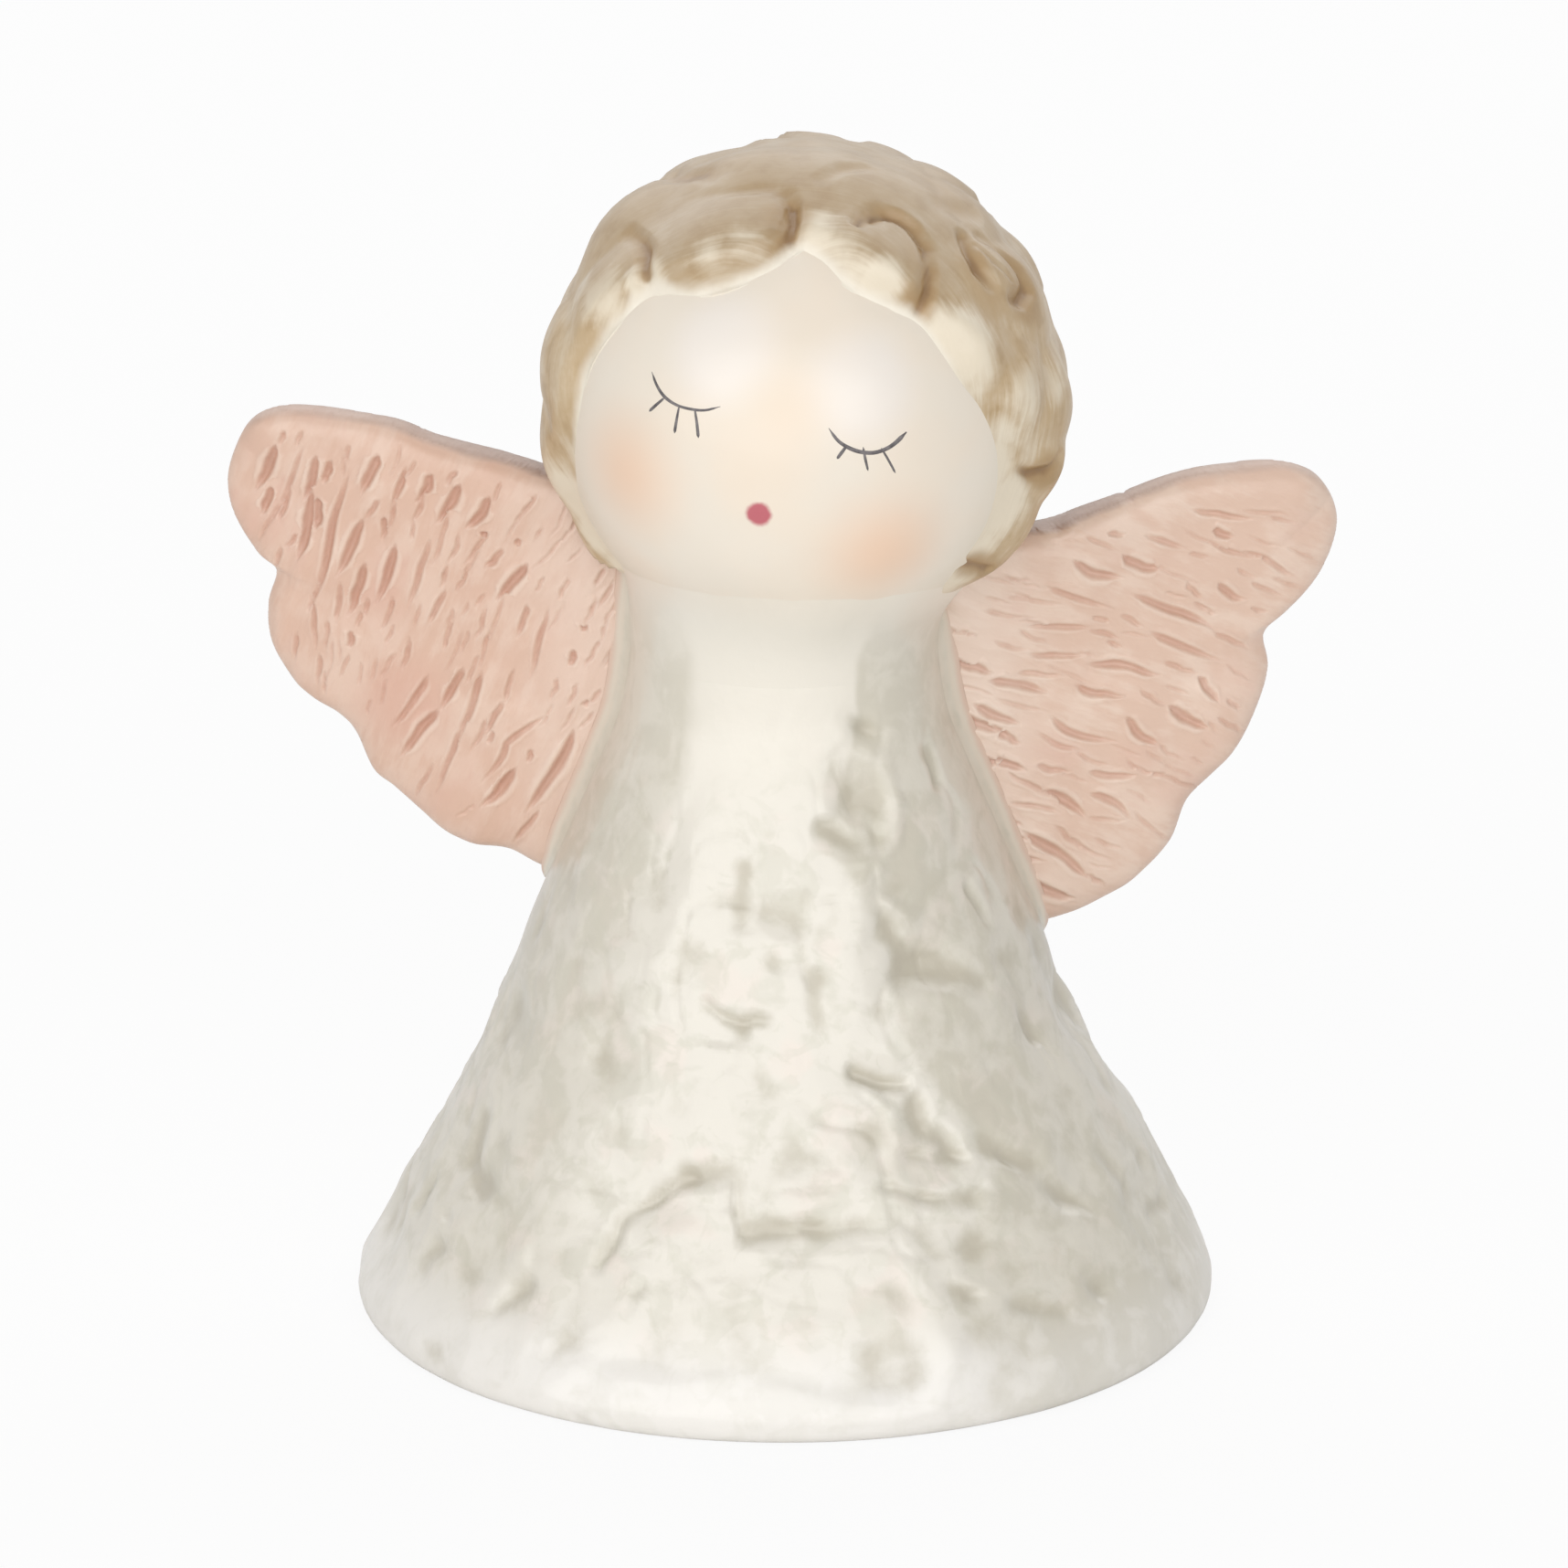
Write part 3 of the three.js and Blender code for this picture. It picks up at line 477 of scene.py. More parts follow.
def robe_finish(start, at):
    cream, grey, green = (0.785, 0.745, 0.66), (0.56, 0.52, 0.42), (0.6, 0.58, 0.47)
    blush, clay, ivory = (0.84, 0.74, 0.66), (0.74, 0.68, 0.59), (0.835, 0.765, 0.66)
    white, neck_highlight, murky = (0.87, 0.84, 0.79), (0.795, 0.75, 0.66), (0.47, 0.42, 0.325)
    broad, middling = start.noise(at, 9, 2), start.noise(at, 3.2, 3, 0.5, 0.8)
    mottled, speckled = start.noise(at, 1.3, 3, 0.6, 0.4), start.noise(at, 0.7, 2)
    pooled, veil = start.field("wash"), start.field("veil")
    height = start.height(at)
    low = height.ease(47, 36) * (0.3 + height.ease(4, 9) * 0.7)
    blots = (broad * 0.4 + middling * 0.7 + mottled * 0.15).ease(0.62, 0.72) * low
    dabs = (start.noise(at, 2.3, 2, 0.5, 1.5) * 0.8 + mottled * 0.2).ease(0.54, 0.64) * low
    clouded = (broad * 0.4 + middling * 0.5 + mottled * 0.2).ease(0.47, 0.63)
    sides = veil.ease(0, 1) * (0.36 + clouded * 0.3)
    colour = start.paint(cream, blush, start.noise(at, 4.6, 2).ease(0.54, 0.66) * 0.45)
    colour = start.paint(colour, white, height.ease(9, 3))
    # Painted highlight: the upper neck is painted a little paler, in place of the lamp's reflection there.
    colour = start.paint(colour, neck_highlight, height.ease(38, 47))
    colour = start.paint(colour, green, blots * 0.36)
    # Painted shade: both sides are greyed, partly by a thicker wash, partly as shade where the light falls
    # off.
    colour = start.paint(colour, grey, sides)
    colour = start.paint(colour, green, dabs * 0.24)
    pools = (pooled + (mottled - 0.5) * 0.5).ease(0.15, 0.8)
    colour = start.paint(colour, grey, pools * (0.4 + height.ease(4, 9) * 0.35))
    colour = start.paint(colour, murky, (pooled + (speckled - 0.5) * 0.4).ease(0.5, 1) * 0.5)
    colour = start.paint(colour, ivory, start.field("chin"))
    bare = start.field("bare")
    colour = start.paint(colour, clay, bare)
    return {
        "Base Color": colour,
        "Roughness": (0.26 + mottled * 0.1) + bare * 0.4,
        "Coat Weight": 0.3 - bare * 0.3,
        "Coat Roughness": 0.15,
        "Coat IOR": 1.5,
        "Normal": start.bump(start.noise(at, 0.9, 2) * 0.5 + start.noise(at, 2.2, 1), 0.05),
    }


robe.data.materials.append(new_glaze("robe glaze over grey wash and painted light", robe_finish))
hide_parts("robe")
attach(robe, "root")

# Head
# A hollow porcelain ball that was cast apart, with a vent hole underneath that lets the air out in
# the kiln. It is turned a little to one side and tilted. The eyelids are soft swellings, and the
# blush and the mouth are painted on before the clear glaze. A paler glow over each eyelid is a
# painted highlight, and the face is painted darker olive towards its edge and under the chin as
# painted shade.
HEAD_MIDDLE = np.array([1.3, 0, 66.19])
HEAD_RADIUS = 17
HEAD_TURN, HEAD_TILT = math.radians(-8.2), math.radians(11.5)
FACE_SWELL = 0.9
FACE_SPREAD = 75
HEAD_WALL = 2.6
VENT_RADIUS = 1.5
HEAD_FACETS = 360
HEAD_ROWS = 180
HEAD_INNER_ROWS = 20
# Swellings and dips of the face: degrees round from its middle, degrees up, spread and rise
FACE_SWELLINGS = [
    (-17, 23, 14, 0.26), (18, 23, 14, 0.28), (1, 17, 8, -0.12), (0, 2, 9, 0.1), (-30, -14, 15, 0.15),
    (32, -12, 15, 0.15), (0, -26, 13, 0.15), (0, -9, 3.2, 0.06), (1, 38, 10, -0.1),
]

cos, sin = math.cos(HEAD_TURN), math.sin(HEAD_TURN)
turn_matrix = np.array([[cos, -sin, 0], [sin, cos, 0], [0, 0, 1]])
cos, sin = math.cos(HEAD_TILT), math.sin(HEAD_TILT)
tilt_matrix = np.array([[cos, 0, sin], [0, 1, 0], [-sin, 0, cos]])
head_axes = turn_matrix @ tilt_matrix


def head_direction(around, up):
    """The direction from the head's middle, so many degrees round from the face and so many up."""
    around, up = np.radians(around), np.radians(up)
    local = np.stack([np.cos(up) * np.sin(around), -np.cos(up) * np.cos(around), np.sin(up)], -1)
    return local @ head_axes.T


def degrees_from(directions, around, up):
    return np.degrees(np.arccos(np.clip(directions @ head_direction(around, up), -1, 1)))


def head_radius(directions):
    radius = HEAD_RADIUS + FACE_SWELL * swelling(degrees_from(directions, 0, 0) / FACE_SPREAD)
    for around, up, spread, rise in FACE_SWELLINGS:
        radius = radius + rise * swelling(degrees_from(directions, around, up) / spread)
    return radius


def face_point(around, up, above=0.0):
    direction = head_direction(around, up)
    return HEAD_MIDDLE + direction * (head_radius(direction[None])[0] + above)


turns = np.linspace(0, 2 * np.pi, HEAD_FACETS, endpoint=False)
vent_angle = math.asin(VENT_RADIUS / HEAD_RADIUS)
climbs = np.linspace(vent_angle, math.pi, HEAD_ROWS + 1)[:-1]


def ball_rows(angles, radius_at):
    level, drop = np.sin(angles)[:, None], np.cos(angles)[:, None]
    directions = np.stack([level * np.sin(turns), -level * np.cos(turns), -drop * np.ones_like(turns)], -1)
    flat = directions.reshape(-1, 3)
    return HEAD_MIDDLE + flat * radius_at(flat)[:, None]


skin = ball_rows(climbs, head_radius)
inner_radius = HEAD_RADIUS - HEAD_WALL
inner_climbs = np.linspace(math.asin(VENT_RADIUS / inner_radius), math.pi, HEAD_INNER_ROWS)[:-1]
inside = ball_rows(inner_climbs, lambda directions: np.full(len(directions), inner_radius))
inner_rows = inside.reshape(len(inner_climbs), HEAD_FACETS, 3)[::-1].reshape(-1, 3)
rows = len(inner_climbs) + HEAD_ROWS
corners = np.vstack([
    inner_rows, skin, HEAD_MIDDLE + [[0, 0, inner_radius]],
    HEAD_MIDDLE + head_radius(np.array([[0, 0, 1]]))[:, None] * [[0, 0, 1]],
])
head = new_piece(
    "head_ball", corners, ring_faces(rows, HEAD_FACETS),
    cap_faces(np.arange(HEAD_FACETS), len(corners) - 2, turned=True),
    cap_faces(np.arange((rows - 1) * HEAD_FACETS, rows * HEAD_FACETS), len(corners) - 1),
)


def head_finish(start, at):
    ivory, warm, peach = (0.82, 0.745, 0.64), (0.86, 0.72, 0.575), (0.85, 0.56, 0.38)
    pale, olive, rosy = (0.88, 0.82, 0.76), (0.72, 0.67, 0.54), (0.52, 0.13, 0.155)
    cloud = start.noise(at, 6, 2)
    grain = start.noise(at, 1.4, 3, 0.6)
    colour = start.paint(ivory, warm, cloud.ease(0.35, 0.75) * 0.35)
    # Painted highlight: a pale glow over each eyelid.
    for around, up in ((-17, 24), (18, 23)):
        colour = start.paint(colour, pale, start.near(at, face_point(around, up)).ease(5.4, 2) * 0.75)
    for around, up, reach, amount in ((1, 14, 4.8, 0.75), (0, -1, 6, 0.5), (1, 33, 6, 0.3)):
        colour = start.paint(colour, warm, start.near(at, face_point(around, up)).ease(reach, 0) * amount)
    for around, up, reach, amount in ((-34, -11, 7.4, 0.68), (31, -15, 7.8, 0.7)):
        blush = (start.near(at, face_point(around, up)) + cloud * 1.5).ease(reach, 0.6)
        colour = start.paint(colour, peach, blush * amount)
    # Painted shade: darker olive towards the face's edge and under the chin.
    rim = start.near(at, face_point(0, 4)).ease(15, 20.5)
    colour = start.paint(colour, olive, rim * (0.3 + grain * 0.5))
    mouth = (start.near(at, face_point(0.3, -9.7)) + (start.noise(at, 0.7, 2) - 0.5) * 0.25).ease(1.06, 0.66)
    colour = start.paint(colour, rosy, mouth)
    return {
        "Base Color": colour,
        "Roughness": 0.36 + grain * 0.1,
        "Coat Weight": 0.15,
        "Coat Roughness": 0.2,
        "Normal": start.bump(start.noise(at, 3, 1), 0.05),
    }


head.data.materials.append(new_glaze("face glaze over blush and painted light", head_finish))
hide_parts("head")
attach(head, "root")

# Lashes
# Two closed eyes, each a curved line with three short lashes, drawn with a fine brush in grey-black
# underglaze and fired under the clear glaze, so they follow the face and hardly stand above it.
LASH_HALF_WIDTH = 0.125
LASH_FLATNESS = 0.14
LASH_POINTS = 24
# Each stroke is a line of degrees round the face, degrees up and the brush's share of full width
LASH_STROKES = [
    [(-33.4, 13.4, 0.7), (-30.5, 11, 0.9), (-27.4, 9.4, 1), (-23.6, 8.8, 0.8), (-19.6, 9.2, 0.8),
     (-16.6, 10, 0.7), (-13.4, 11.8, 0.5)],
    [(-27.6, 9.2, 0.7), (-29.2, 7, 0.9), (-30.6, 5, 0.9)],
    [(-23.2, 8.8, 0.6), (-22.9, 5.8, 0.9), (-22.6, 2.7, 1)],
    [(-19.2, 9.4, 0.6), (-17.8, 6.6, 0.9), (-16.6, 3.6, 1)],
    [(11.6, 12.8, 0.7), (14.2, 10.4, 0.9), (17.2, 9.1, 1.1), (20.4, 8.6, 1.1), (23.6, 9, 1.1),
     (27, 10.8, 1.2), (30.2, 14, 1.4)],
    [(16.2, 9.3, 0.8), (15.4, 7.8, 1), (14.7, 6.4, 0.8)],
    [(20.1, 9.8, 0.5), (21, 7.4, 0.8), (22.2, 4.6, 0.6)],
    [(24.4, 10, 0.5), (26.6, 7.4, 0.7), (28.8, 4.6, 0.6)],
]


def new_tree(name, inputs):
    """A Geometry Nodes tree with named inputs, and the function that gives an input's wire."""
    tree = bpy.data.node_groups.new(name, "GeometryNodeTree")
    tree.interface.new_socket("Geometry", in_out="INPUT", socket_type="NodeSocketGeometry")
    tree.interface.new_socket("Geometry", in_out="OUTPUT", socket_type="NodeSocketGeometry")
    for label, kind in inputs.items():
        tree.interface.new_socket(label, in_out="INPUT", socket_type=kind)
    group = tree.nodes.new("NodeGroupInput")
    return tree, lambda label: Wire(tree, group.outputs[label])


def run_tree(piece, tree, settings):
    """Runs a tree on a piece, and gives the piece the plain mesh that comes out."""
    modifier = piece.modifiers.new(tree.name, "NODES")
    modifier.node_group = tree
    for item in tree.interface.items_tree:
        if item.in_out == "INPUT" and item.name in settings:
            modifier[item.identifier] = settings[item.name]
    bpy.context.view_layer.update()
    depsgraph = bpy.context.evaluated_depsgraph_get()
    mesh = bpy.data.meshes.new_from_object(piece.evaluated_get(depsgraph), depsgraph=depsgraph)
    piece.modifiers.remove(modifier)
    piece.data = mesh
    mesh.polygons.foreach_set("use_smooth", np.ones(len(mesh.polygons), bool))


def stroke_lines(name, strokes, half_widths):
    """Loose lines through each stroke's points, which carry the half width of the brush or tool."""
    points = np.vstack(strokes)
    mesh = bpy.data.meshes.new(name)
    edges, first = [], 0
    for stroke in strokes:
        edges += [(first + place, first + place + 1) for place in range(len(stroke) - 1)]
        first += len(stroke)
    mesh.from_pydata((points * MM).tolist(), edges, [])
    attribute = mesh.attributes.new("half_width", "FLOAT", "POINT")
    attribute.data.foreach_set("value", (np.concatenate(half_widths) * MM).astype(np.float32))
    piece = bpy.data.objects.new(name, mesh)
    bpy.context.scene.collection.objects.link(piece)
    return piece


def lash_tree(material):
    tree, given = new_tree("painted strokes", {"Face": "NodeSocketObject", "Flatness": "NodeSocketFloat"})
    start = Wire(tree)
    curve = start.node("GeometryNodeMeshToCurve", {}, {"Mesh": given("Geometry")})
    curve = start.resampled(curve, 0.08)
    width = start.stored("half_width")
    curve = start.node("GeometryNodeSetCurveRadius", {}, {"Curve": curve, "Radius": width})
    brush = start.node("GeometryNodeCurvePrimitiveCircle", {}, {"Resolution": 10, "Radius": 1.0})
    tube = start.node("GeometryNodeCurveToMesh", {}, {
        "Curve": curve, "Profile Curve": brush, "Scale": width, "Fill Caps": True})
    face = start.shape(given("Face"))
    nearest = start.node("GeometryNodeProximity", {"target_element": "FACES"}, {0: face}, out="Position")
    place = start.node("GeometryNodeInputPosition")
    offset = start.vector("SUBTRACT", {0: place, 1: nearest})
    offset = start.vector("SCALE", {0: offset, "Scale": given("Flatness")})
    flat = start.vector("ADD", {0: nearest, 1: offset})
    tube = start.node("GeometryNodeSetPosition", {}, {"Geometry": tube, "Position": flat})
    tube = start.node("GeometryNodeRealizeInstances", {}, {"Geometry": tube})
    tube = start.node("GeometryNodeSetMaterial", {}, {"Geometry": tube, "Material": material})
    start.node("NodeGroupOutput", {}, {"Geometry": tube})
    return tree


def lash_finish(start, at):
    lightened = start.noise(at, 0.5, 3)
    return {
        "Base Color": start.paint((0.075, 0.066, 0.07), (0.2, 0.18, 0.18), lightened.ease(0.3, 0.75)),
        "Roughness": 0.25 + lightened * 0.15,
        "Normal": start.bump(lightened, 0.01),
    }


lash_lines = [smooth_curve(stroke, LASH_POINTS) for stroke in LASH_STROKES]
lash_paths, lash_widths = [], []
for line in lash_lines:
    share = np.linspace(0, 1, LASH_POINTS)
    taper = np.clip(np.minimum(share, 1 - share) / 0.08, 0.25, 1)
    lash_paths.append(np.array([face_point(around, up, 0.01) for around, up, _ in line]))
    lash_widths.append(LASH_HALF_WIDTH * line[:, 2] * taper)
lashes = stroke_lines("painted_lashes", lash_paths, lash_widths)
lash_paint = new_glaze("lash underglaze", lash_finish)
run_tree(lashes, lash_tree(lash_paint), {"Face": head, "Flatness": LASH_FLATNESS})
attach(lashes, "root")

# Hair
# A thick cap of clay locks, modelled on the head's ball with a soft rim round the face. Round tool
# cuts part the bigger curls, and a brown wash was brushed on along the locks and rubbed off the
# high spots, where the ivory clay shows through the glaze. The pale spots on the big curl over the
# figure's right eye are painted highlights, and the pale line along the rim is partly one; the crown
# and the big curl's lower edge are painted darker, partly as painted shade.
HAIR_COLUMNS = 448
HAIR_ROWS = 172
HAIR_THICKNESS = 1.15
HAIR_SINK = 0.1
HAIR_BALL = 18.2
HAIR_BACK = (178, 22)
HAIR_UNDER_ROWS = 13
LOCK_POWER = 5
BACK_LOCK_REACH, BACK_LOCK_RISE = 5.6, 0.85
NAPE_DROP = -48
# The rim from the parting down the figure's left: degrees round, degrees up, width of the rounding
# in millimetres, and its softness, from 1 for a clear edge to 2 for one that melts into the face
LEFT_RIM = [
    (-7, 52.5, 2, 1.3), (1, 50.5, 2.4, 1.5), (8, 46.5, 2.6, 1.6), (14, 44, 2.6, 1.6),
    (21, 42.2, 2.4, 1.5), (28, 40.4, 2.2, 1.4), (34, 37.5, 2.6, 1.5), (39, 31, 3.8, 1.8),
    (44, 24, 4.4, 2), (50, 17, 5, 2), (55, 8, 6, 2), (57, -1, 7.5, 2), (57, -10, 8, 2), (56, -17, 7, 2),
    (54, -24, 7.5, 2), (54, -31, 8, 2), (60, -38, 8, 2),
]
# The rim up the figure's right side, back to the parting
RIGHT_RIM = [
    (-52, -58, 4, 2), (-58, -52, 4, 2), (-61, -43, 4.4, 2), (-61, -33, 5, 2), (-57, -22, 4.6, 2),
    (-55, -12, 3.4, 1.9), (-54.5, -3, 2.6, 1.6), (-54.5, 6, 2.4, 1.5), (-52, 14, 2.4, 1.5),
    (-49, 21, 2.4, 1.5), (-46, 27, 2, 1.3), (-42, 29.6, 1.8, 1.2), (-36, 31, 2.4, 1.5),
    (-30, 33, 2.6, 1.6), (-24, 36, 2.6, 1.6), (-18, 40.5, 2.6, 1.6), (-12.5, 45.5, 2.4, 1.5),
    (-9.5, 50, 2, 1.3),
]
# Locks round the face and over the crown: degrees round, degrees up, spread and rise
FRONT_LOCKS = [
    (-34, 46, 20, 0.95), (-20, 49, 11, 0.5), (19, 52, 17, 0.85), (26, 47, 9, 0.3), (48, 31, 13, 0.6),
    (71, 48, 13, 0.75), (-62, 22, 15, 0.55), (-88, 34, 20, 0.95), (-70, 66, 17, 0.5), (-20, 80, 20, 0.35),
    (56, 72, 20, 0.5), (88, 42, 17, 0.75), (86, 14, 16, 0.95), (82, 2, 13, 0.95), (74, -12, 13, 0.5),
    (76, -30, 15, 0.55), (-74, 3, 17, 0.7), (-76, -24, 16, 0.5), (-72, -48, 14, 0.5), (100, 62, 18, 0.6),
    (20, 76, 18, 0.3), (-104, 6, 16, 0.7), (68, 22, 13, 0.45), (-52, 26, 9, 0.25),
]
# Cuts between the locks: half width and depth, then degrees round, degrees up and strength
HAIR_CUTS = [
    (0.9, 0.16, [(-52, 55, 0.4), (-45, 60.5, 0.8), (-37, 64, 1), (-28.5, 65.4, 1), (-21, 64, 0.8)]),
    (0.95, 0.7, [(-26, 64, 0.4), (-19.5, 61.8, 1), (-15, 58, 1), (-13, 53.4, 1), (-14.5, 49.5, 0.6),
                 (-17.5, 46.5, 0.2)]),
    # The next cut, along the big curl's lower edge, is shallow; its brown is partly painted shade.
    (0.8, 0.15, [(-47, 32.5, 0.7), (-39, 35, 1), (-31, 37, 1), (-24, 40.5, 1), (-17.5, 45.5, 0.8)]),
    (0.35, 0.25, [(-22, 60.5, 0.6), (-18.5, 57, 1), (-17.2, 53.4, 1), (-18.4, 50, 0.7)]),
    (0.9, 0.5, [(-68, 36, 0.4), (-60, 36.6, 0.8), (-54, 35.5, 1), (-48, 31.5, 0.8)]),
    (0.85, 0.62, [(12.5, 61, 0.9), (18, 63.8, 1), (26, 65.3, 1), (33, 64.6, 0.9), (39, 61.6, 0.8),
                  (41.2, 56.6, 0.8), (39.6, 50.6, 0.85), (36.6, 45.4, 1), (33.6, 41.4, 0.9)]),
    (0.9, 0.5, [(66, 58, 0.7), (61.8, 53.6, 0.9), (60.9, 49.5, 1), (63, 45.4, 0.5)]),
    (0.9, 0.55, [(76, 56, 0.3), (80, 51, 0.5), (82.6, 46, 0.7), (80.6, 41.5, 1), (75, 40.2, 1),
                 (70.6, 41.4, 0.6)]),
    (0.35, 0.2, [(68, 55, 0.7), (69, 50, 1), (73, 45, 0.7)]),
    (0.8, 0.75, [(68, 3, 0.5), (72, 1.4, 1), (77, 1.6, 1), (80, 3.6, 0.5)]),
    (0.8, 0.7, [(55, -20, 0.9), (62, -21.6, 1), (71, -23.5, 0.9)]),
    (0.7, 0.45, [(-55.5, -8, 0.3), (-55.5, -12.5, 0.9), (-57.5, -16, 0.8)]),
    (1.4, 0.4, [(-100, 46, 0.6), (-88, 50, 1), (-76, 56.5, 1), (-68, 58, 0.6)]),
    (1, 0.25, [(-15, 73, 0.5), (-8, 79, 0.9), (20, 82, 0.7)]),
    (1.4, 0.25, [(52, 64, 0.4), (66, 67, 0.8), (86, 62, 0.7)]),
    (1.4, 0.15, [(58, 22, 0.6), (64, 28, 0.9), (66, 35, 0.5)]),
    (1.2, 0.15, [(72, 14, 0.5), (78, 22, 0.8), (80, 30, 0.4)]),
    (1.1, 0.25, [(-66, 13, 0.5), (-76, 15, 0.8), (-86, 14, 0.5)]),
    (1, 0.2, [(-68, -12, 0.5), (-78, -9, 0.8), (-88, -6, 0.5)]),
]
# Curls that hang over the back: degrees round, degrees up, and the way in which the tip turns
BACK_CURLS = [
    (128, 63, 1), (170, 61, -1), (212, 63, -1), (118, 38, 1), (142, 38, -1), (174, 39, 1), (207, 37, 1),
    (240, 39, -1), (113, 14, -1), (141, 13, 1), (172, 15, -1), (203, 13, -1), (234, 14, 1), (127, -10, -1),
    (157, -11, 1), (190, -10, 1), (221, -9, -1), (251, -11, 1), (109, -33, 1), (140, -33, -1),
    (173, -34, 1), (205, -33, -1), (237, -33, 1),
]
# Where the wash was rubbed away, and the first three, on the big curl, painted highlights: degrees
# round, degrees up, reach in millimetres and amount
RUBBED_AND_HIGHLIGHT_SPOTS = [
    (-31, 41, 2, 0.45), (-25, 46.5, 2.2, 0.4), (-37, 45, 2, 0.25), (-5, 57, 2.4, 0.7), (21, 47, 1.9, 0.8),
    (12.3, 48, 1.6, 0.6), (43, 32, 3.6, 1), (39, 36, 2.4, 0.8), (50, 27, 2.4, 0.6), (64, -6, 3.4, 0.95),
    (62, -14, 2.8, 0.7), (57, 4, 3, 1), (60, 12, 2.4, 0.6), (-47, 30, 2, 0.9), (-57, 22, 2.6, 0.6),
    (-66, -31, 3.2, 0.95), (-65, -41, 2.6, 0.9), (-60, -51, 2.4, 0.8), (-58, -16, 1.6, 0.5),
    (2, 55, 2.6, 0.5), (8, 51, 2, 0.5), (70, 36, 2, 0.3), (66, 20, 3, 0.55), (68, 8, 2.4, 0.4),
    (60, -26, 2.6, 0.8), (54, -30, 2.6, 0.9), (62, -33, 2.4, 0.6), (-70, 18, 2.4, 0.35),
    (80, 20, 2.2, 0.35), (66, 48, 1.4, 0.3),
]
# Where the wash stayed thick and yellow-brown, in the same terms
BROWN_SPOTS = [
    (-17.5, 58.5, 2.2, 0.75), (38, 54, 2.2, 0.5), (33, 42, 1.6, 0.8), (77, 40, 2.2, 1), (81, 47, 1.8, 0.7),
    (62, 51, 1.6, 0.6), (76, 1.5, 1.6, 1), (-54, 35, 2.2, 0.4), (-62, 24, 3, 0.4), (60, 42, 2.2, 0.45),
    (60, 30, 2.4, 0.35), (72, 24, 2.6, 0.35), (57, -20.5, 1.4, 0.8), (64, -22, 1.6, 0.9),
    (71, -24, 1.4, 0.8), (82, 72, 3.2, 0.5), (-56, -13, 1.8, 0.5), (-80, 8, 4, 0.4), (64, 50, 1.6, 0.4),
    (19, 64, 0.9, 0.6), (26, 65.3, 1, 0.8), (33, 64.6, 1, 0.8), (39, 61.6, 1, 0.85), (41.2, 56.6, 1, 0.85),
    (39.6, 50.6, 1, 0.85), (36.6, 45.4, 1.1, 0.85), (-15, 58, 0.9, 0.7), (-13.2, 54, 0.9, 0.7),
    (62, 54, 0.9, 0.6), (61, 49.5, 0.9, 0.6), (82.6, 46, 1, 0.7),
]


def figure_direction(around, up):
    around, up = np.radians(around), np.radians(up)
    return np.stack([np.cos(up) * np.sin(around), -np.cos(up) * np.cos(around), np.sin(up)], -1)


def on_ball(direction):
    return HEAD_MIDDLE + HAIR_BALL * direction


def on_hair(line):
    return [(*on_ball(head_direction(around, up)), strength) for around, up, strength in line]


def spotted(points, spots):
    total = np.zeros(len(points))
    for around, up, reach, amount in spots:
        gap = np.linalg.norm(points - on_ball(head_direction(around, up)), axis=1)
        total = np.maximum(total, amount * swelling(gap / (1.5 * reach)))
    return total


def rim_rows(rows):
    rows = np.array(rows, float)
    return np.column_stack([head_direction(rows[:, 0], rows[:, 1]), rows[:, 2:]])


nape_directions = figure_direction(np.linspace(82, 296, 14), np.full(14, NAPE_DROP))
nape = np.column_stack([nape_directions, np.full((14, 2), (6, 2))])
rim = np.vstack([rim_rows(LEFT_RIM), nape, rim_rows(RIGHT_RIM)])
loop = smooth_curve(np.vstack([rim, rim[:1]]), HAIR_COLUMNS + 1)[:-1]
loop_directions = loop[:, :3] / np.linalg.norm(loop[:, :3], axis=1)[:, None]
back = head_direction(*HAIR_BACK)
span = np.arccos(np.clip(loop_directions @ back, -1, 1))[None, :, None]


def shell(climb):
    """Directions that go from the rim towards the middle of the back, by shares of the way."""
    climb = climb[:, None, None]
    directions = (np.sin((1 - climb) * span) * loop_directions + np.sin(climb * span) * back) / np.sin(span)
    return directions.reshape(-1, 3)


directions = shell(np.linspace(0, 1, HAIR_ROWS + 1)[:-1] ** 1.25)
ball_points = on_ball(directions)
back_locks, back_cuts = [], []
for around, up, turn_way in BACK_CURLS:
    way = turn_way / max(math.cos(math.radians(up)), 0.4)
    back_locks.append([
        (around - 2 * way, up + 9, 0.5), (around - way, up + 2, 1), (around + 2 * way, up - 4, 1),
    ])
    back_cuts.append((1.1, 0.6 if 130 < around < 240 else 0.25, [
        (around - 8 * way, up + 9, 0.2), (around - 8 * way, up + 1, 0.7), (around - 5 * way, up - 7, 1),
        (around + 1 * way, up - 10.5, 1), (around + 7 * way, up - 9, 0.9), (around + 9 * way, up - 4, 0.6),
        (around + 7 * way, up, 0.2),
    ]))

power = np.zeros(len(directions))
across = degrees_from(directions, 2, 8) * 0.32 + 0.8 * waves(ball_points, 5, 33)
for around, up, spread, rise in FRONT_LOCKS:
    apart = degrees_from(directions, around, up)
    power += (rise * swelling(apart / spread)) ** LOCK_POWER
for line in back_locks:
    power += (BACK_LOCK_RISE * pressed(ball_points, on_hair(line), BACK_LOCK_REACH)) ** LOCK_POWER
height = HAIR_THICKNESS + power ** (1 / LOCK_POWER)
cut = np.zeros(len(directions))
for half_width, depth, line in HAIR_CUTS + back_cuts:
    pull, beside = (pressed(ball_points, on_hair(line), reach * half_width) for reach in (1, 2.3))
    height += 0.22 * depth * beside - depth * 1.15 * pull
    cut = np.maximum(cut, np.maximum(pull, 0.4 * beside) * min(1, depth / 0.5))
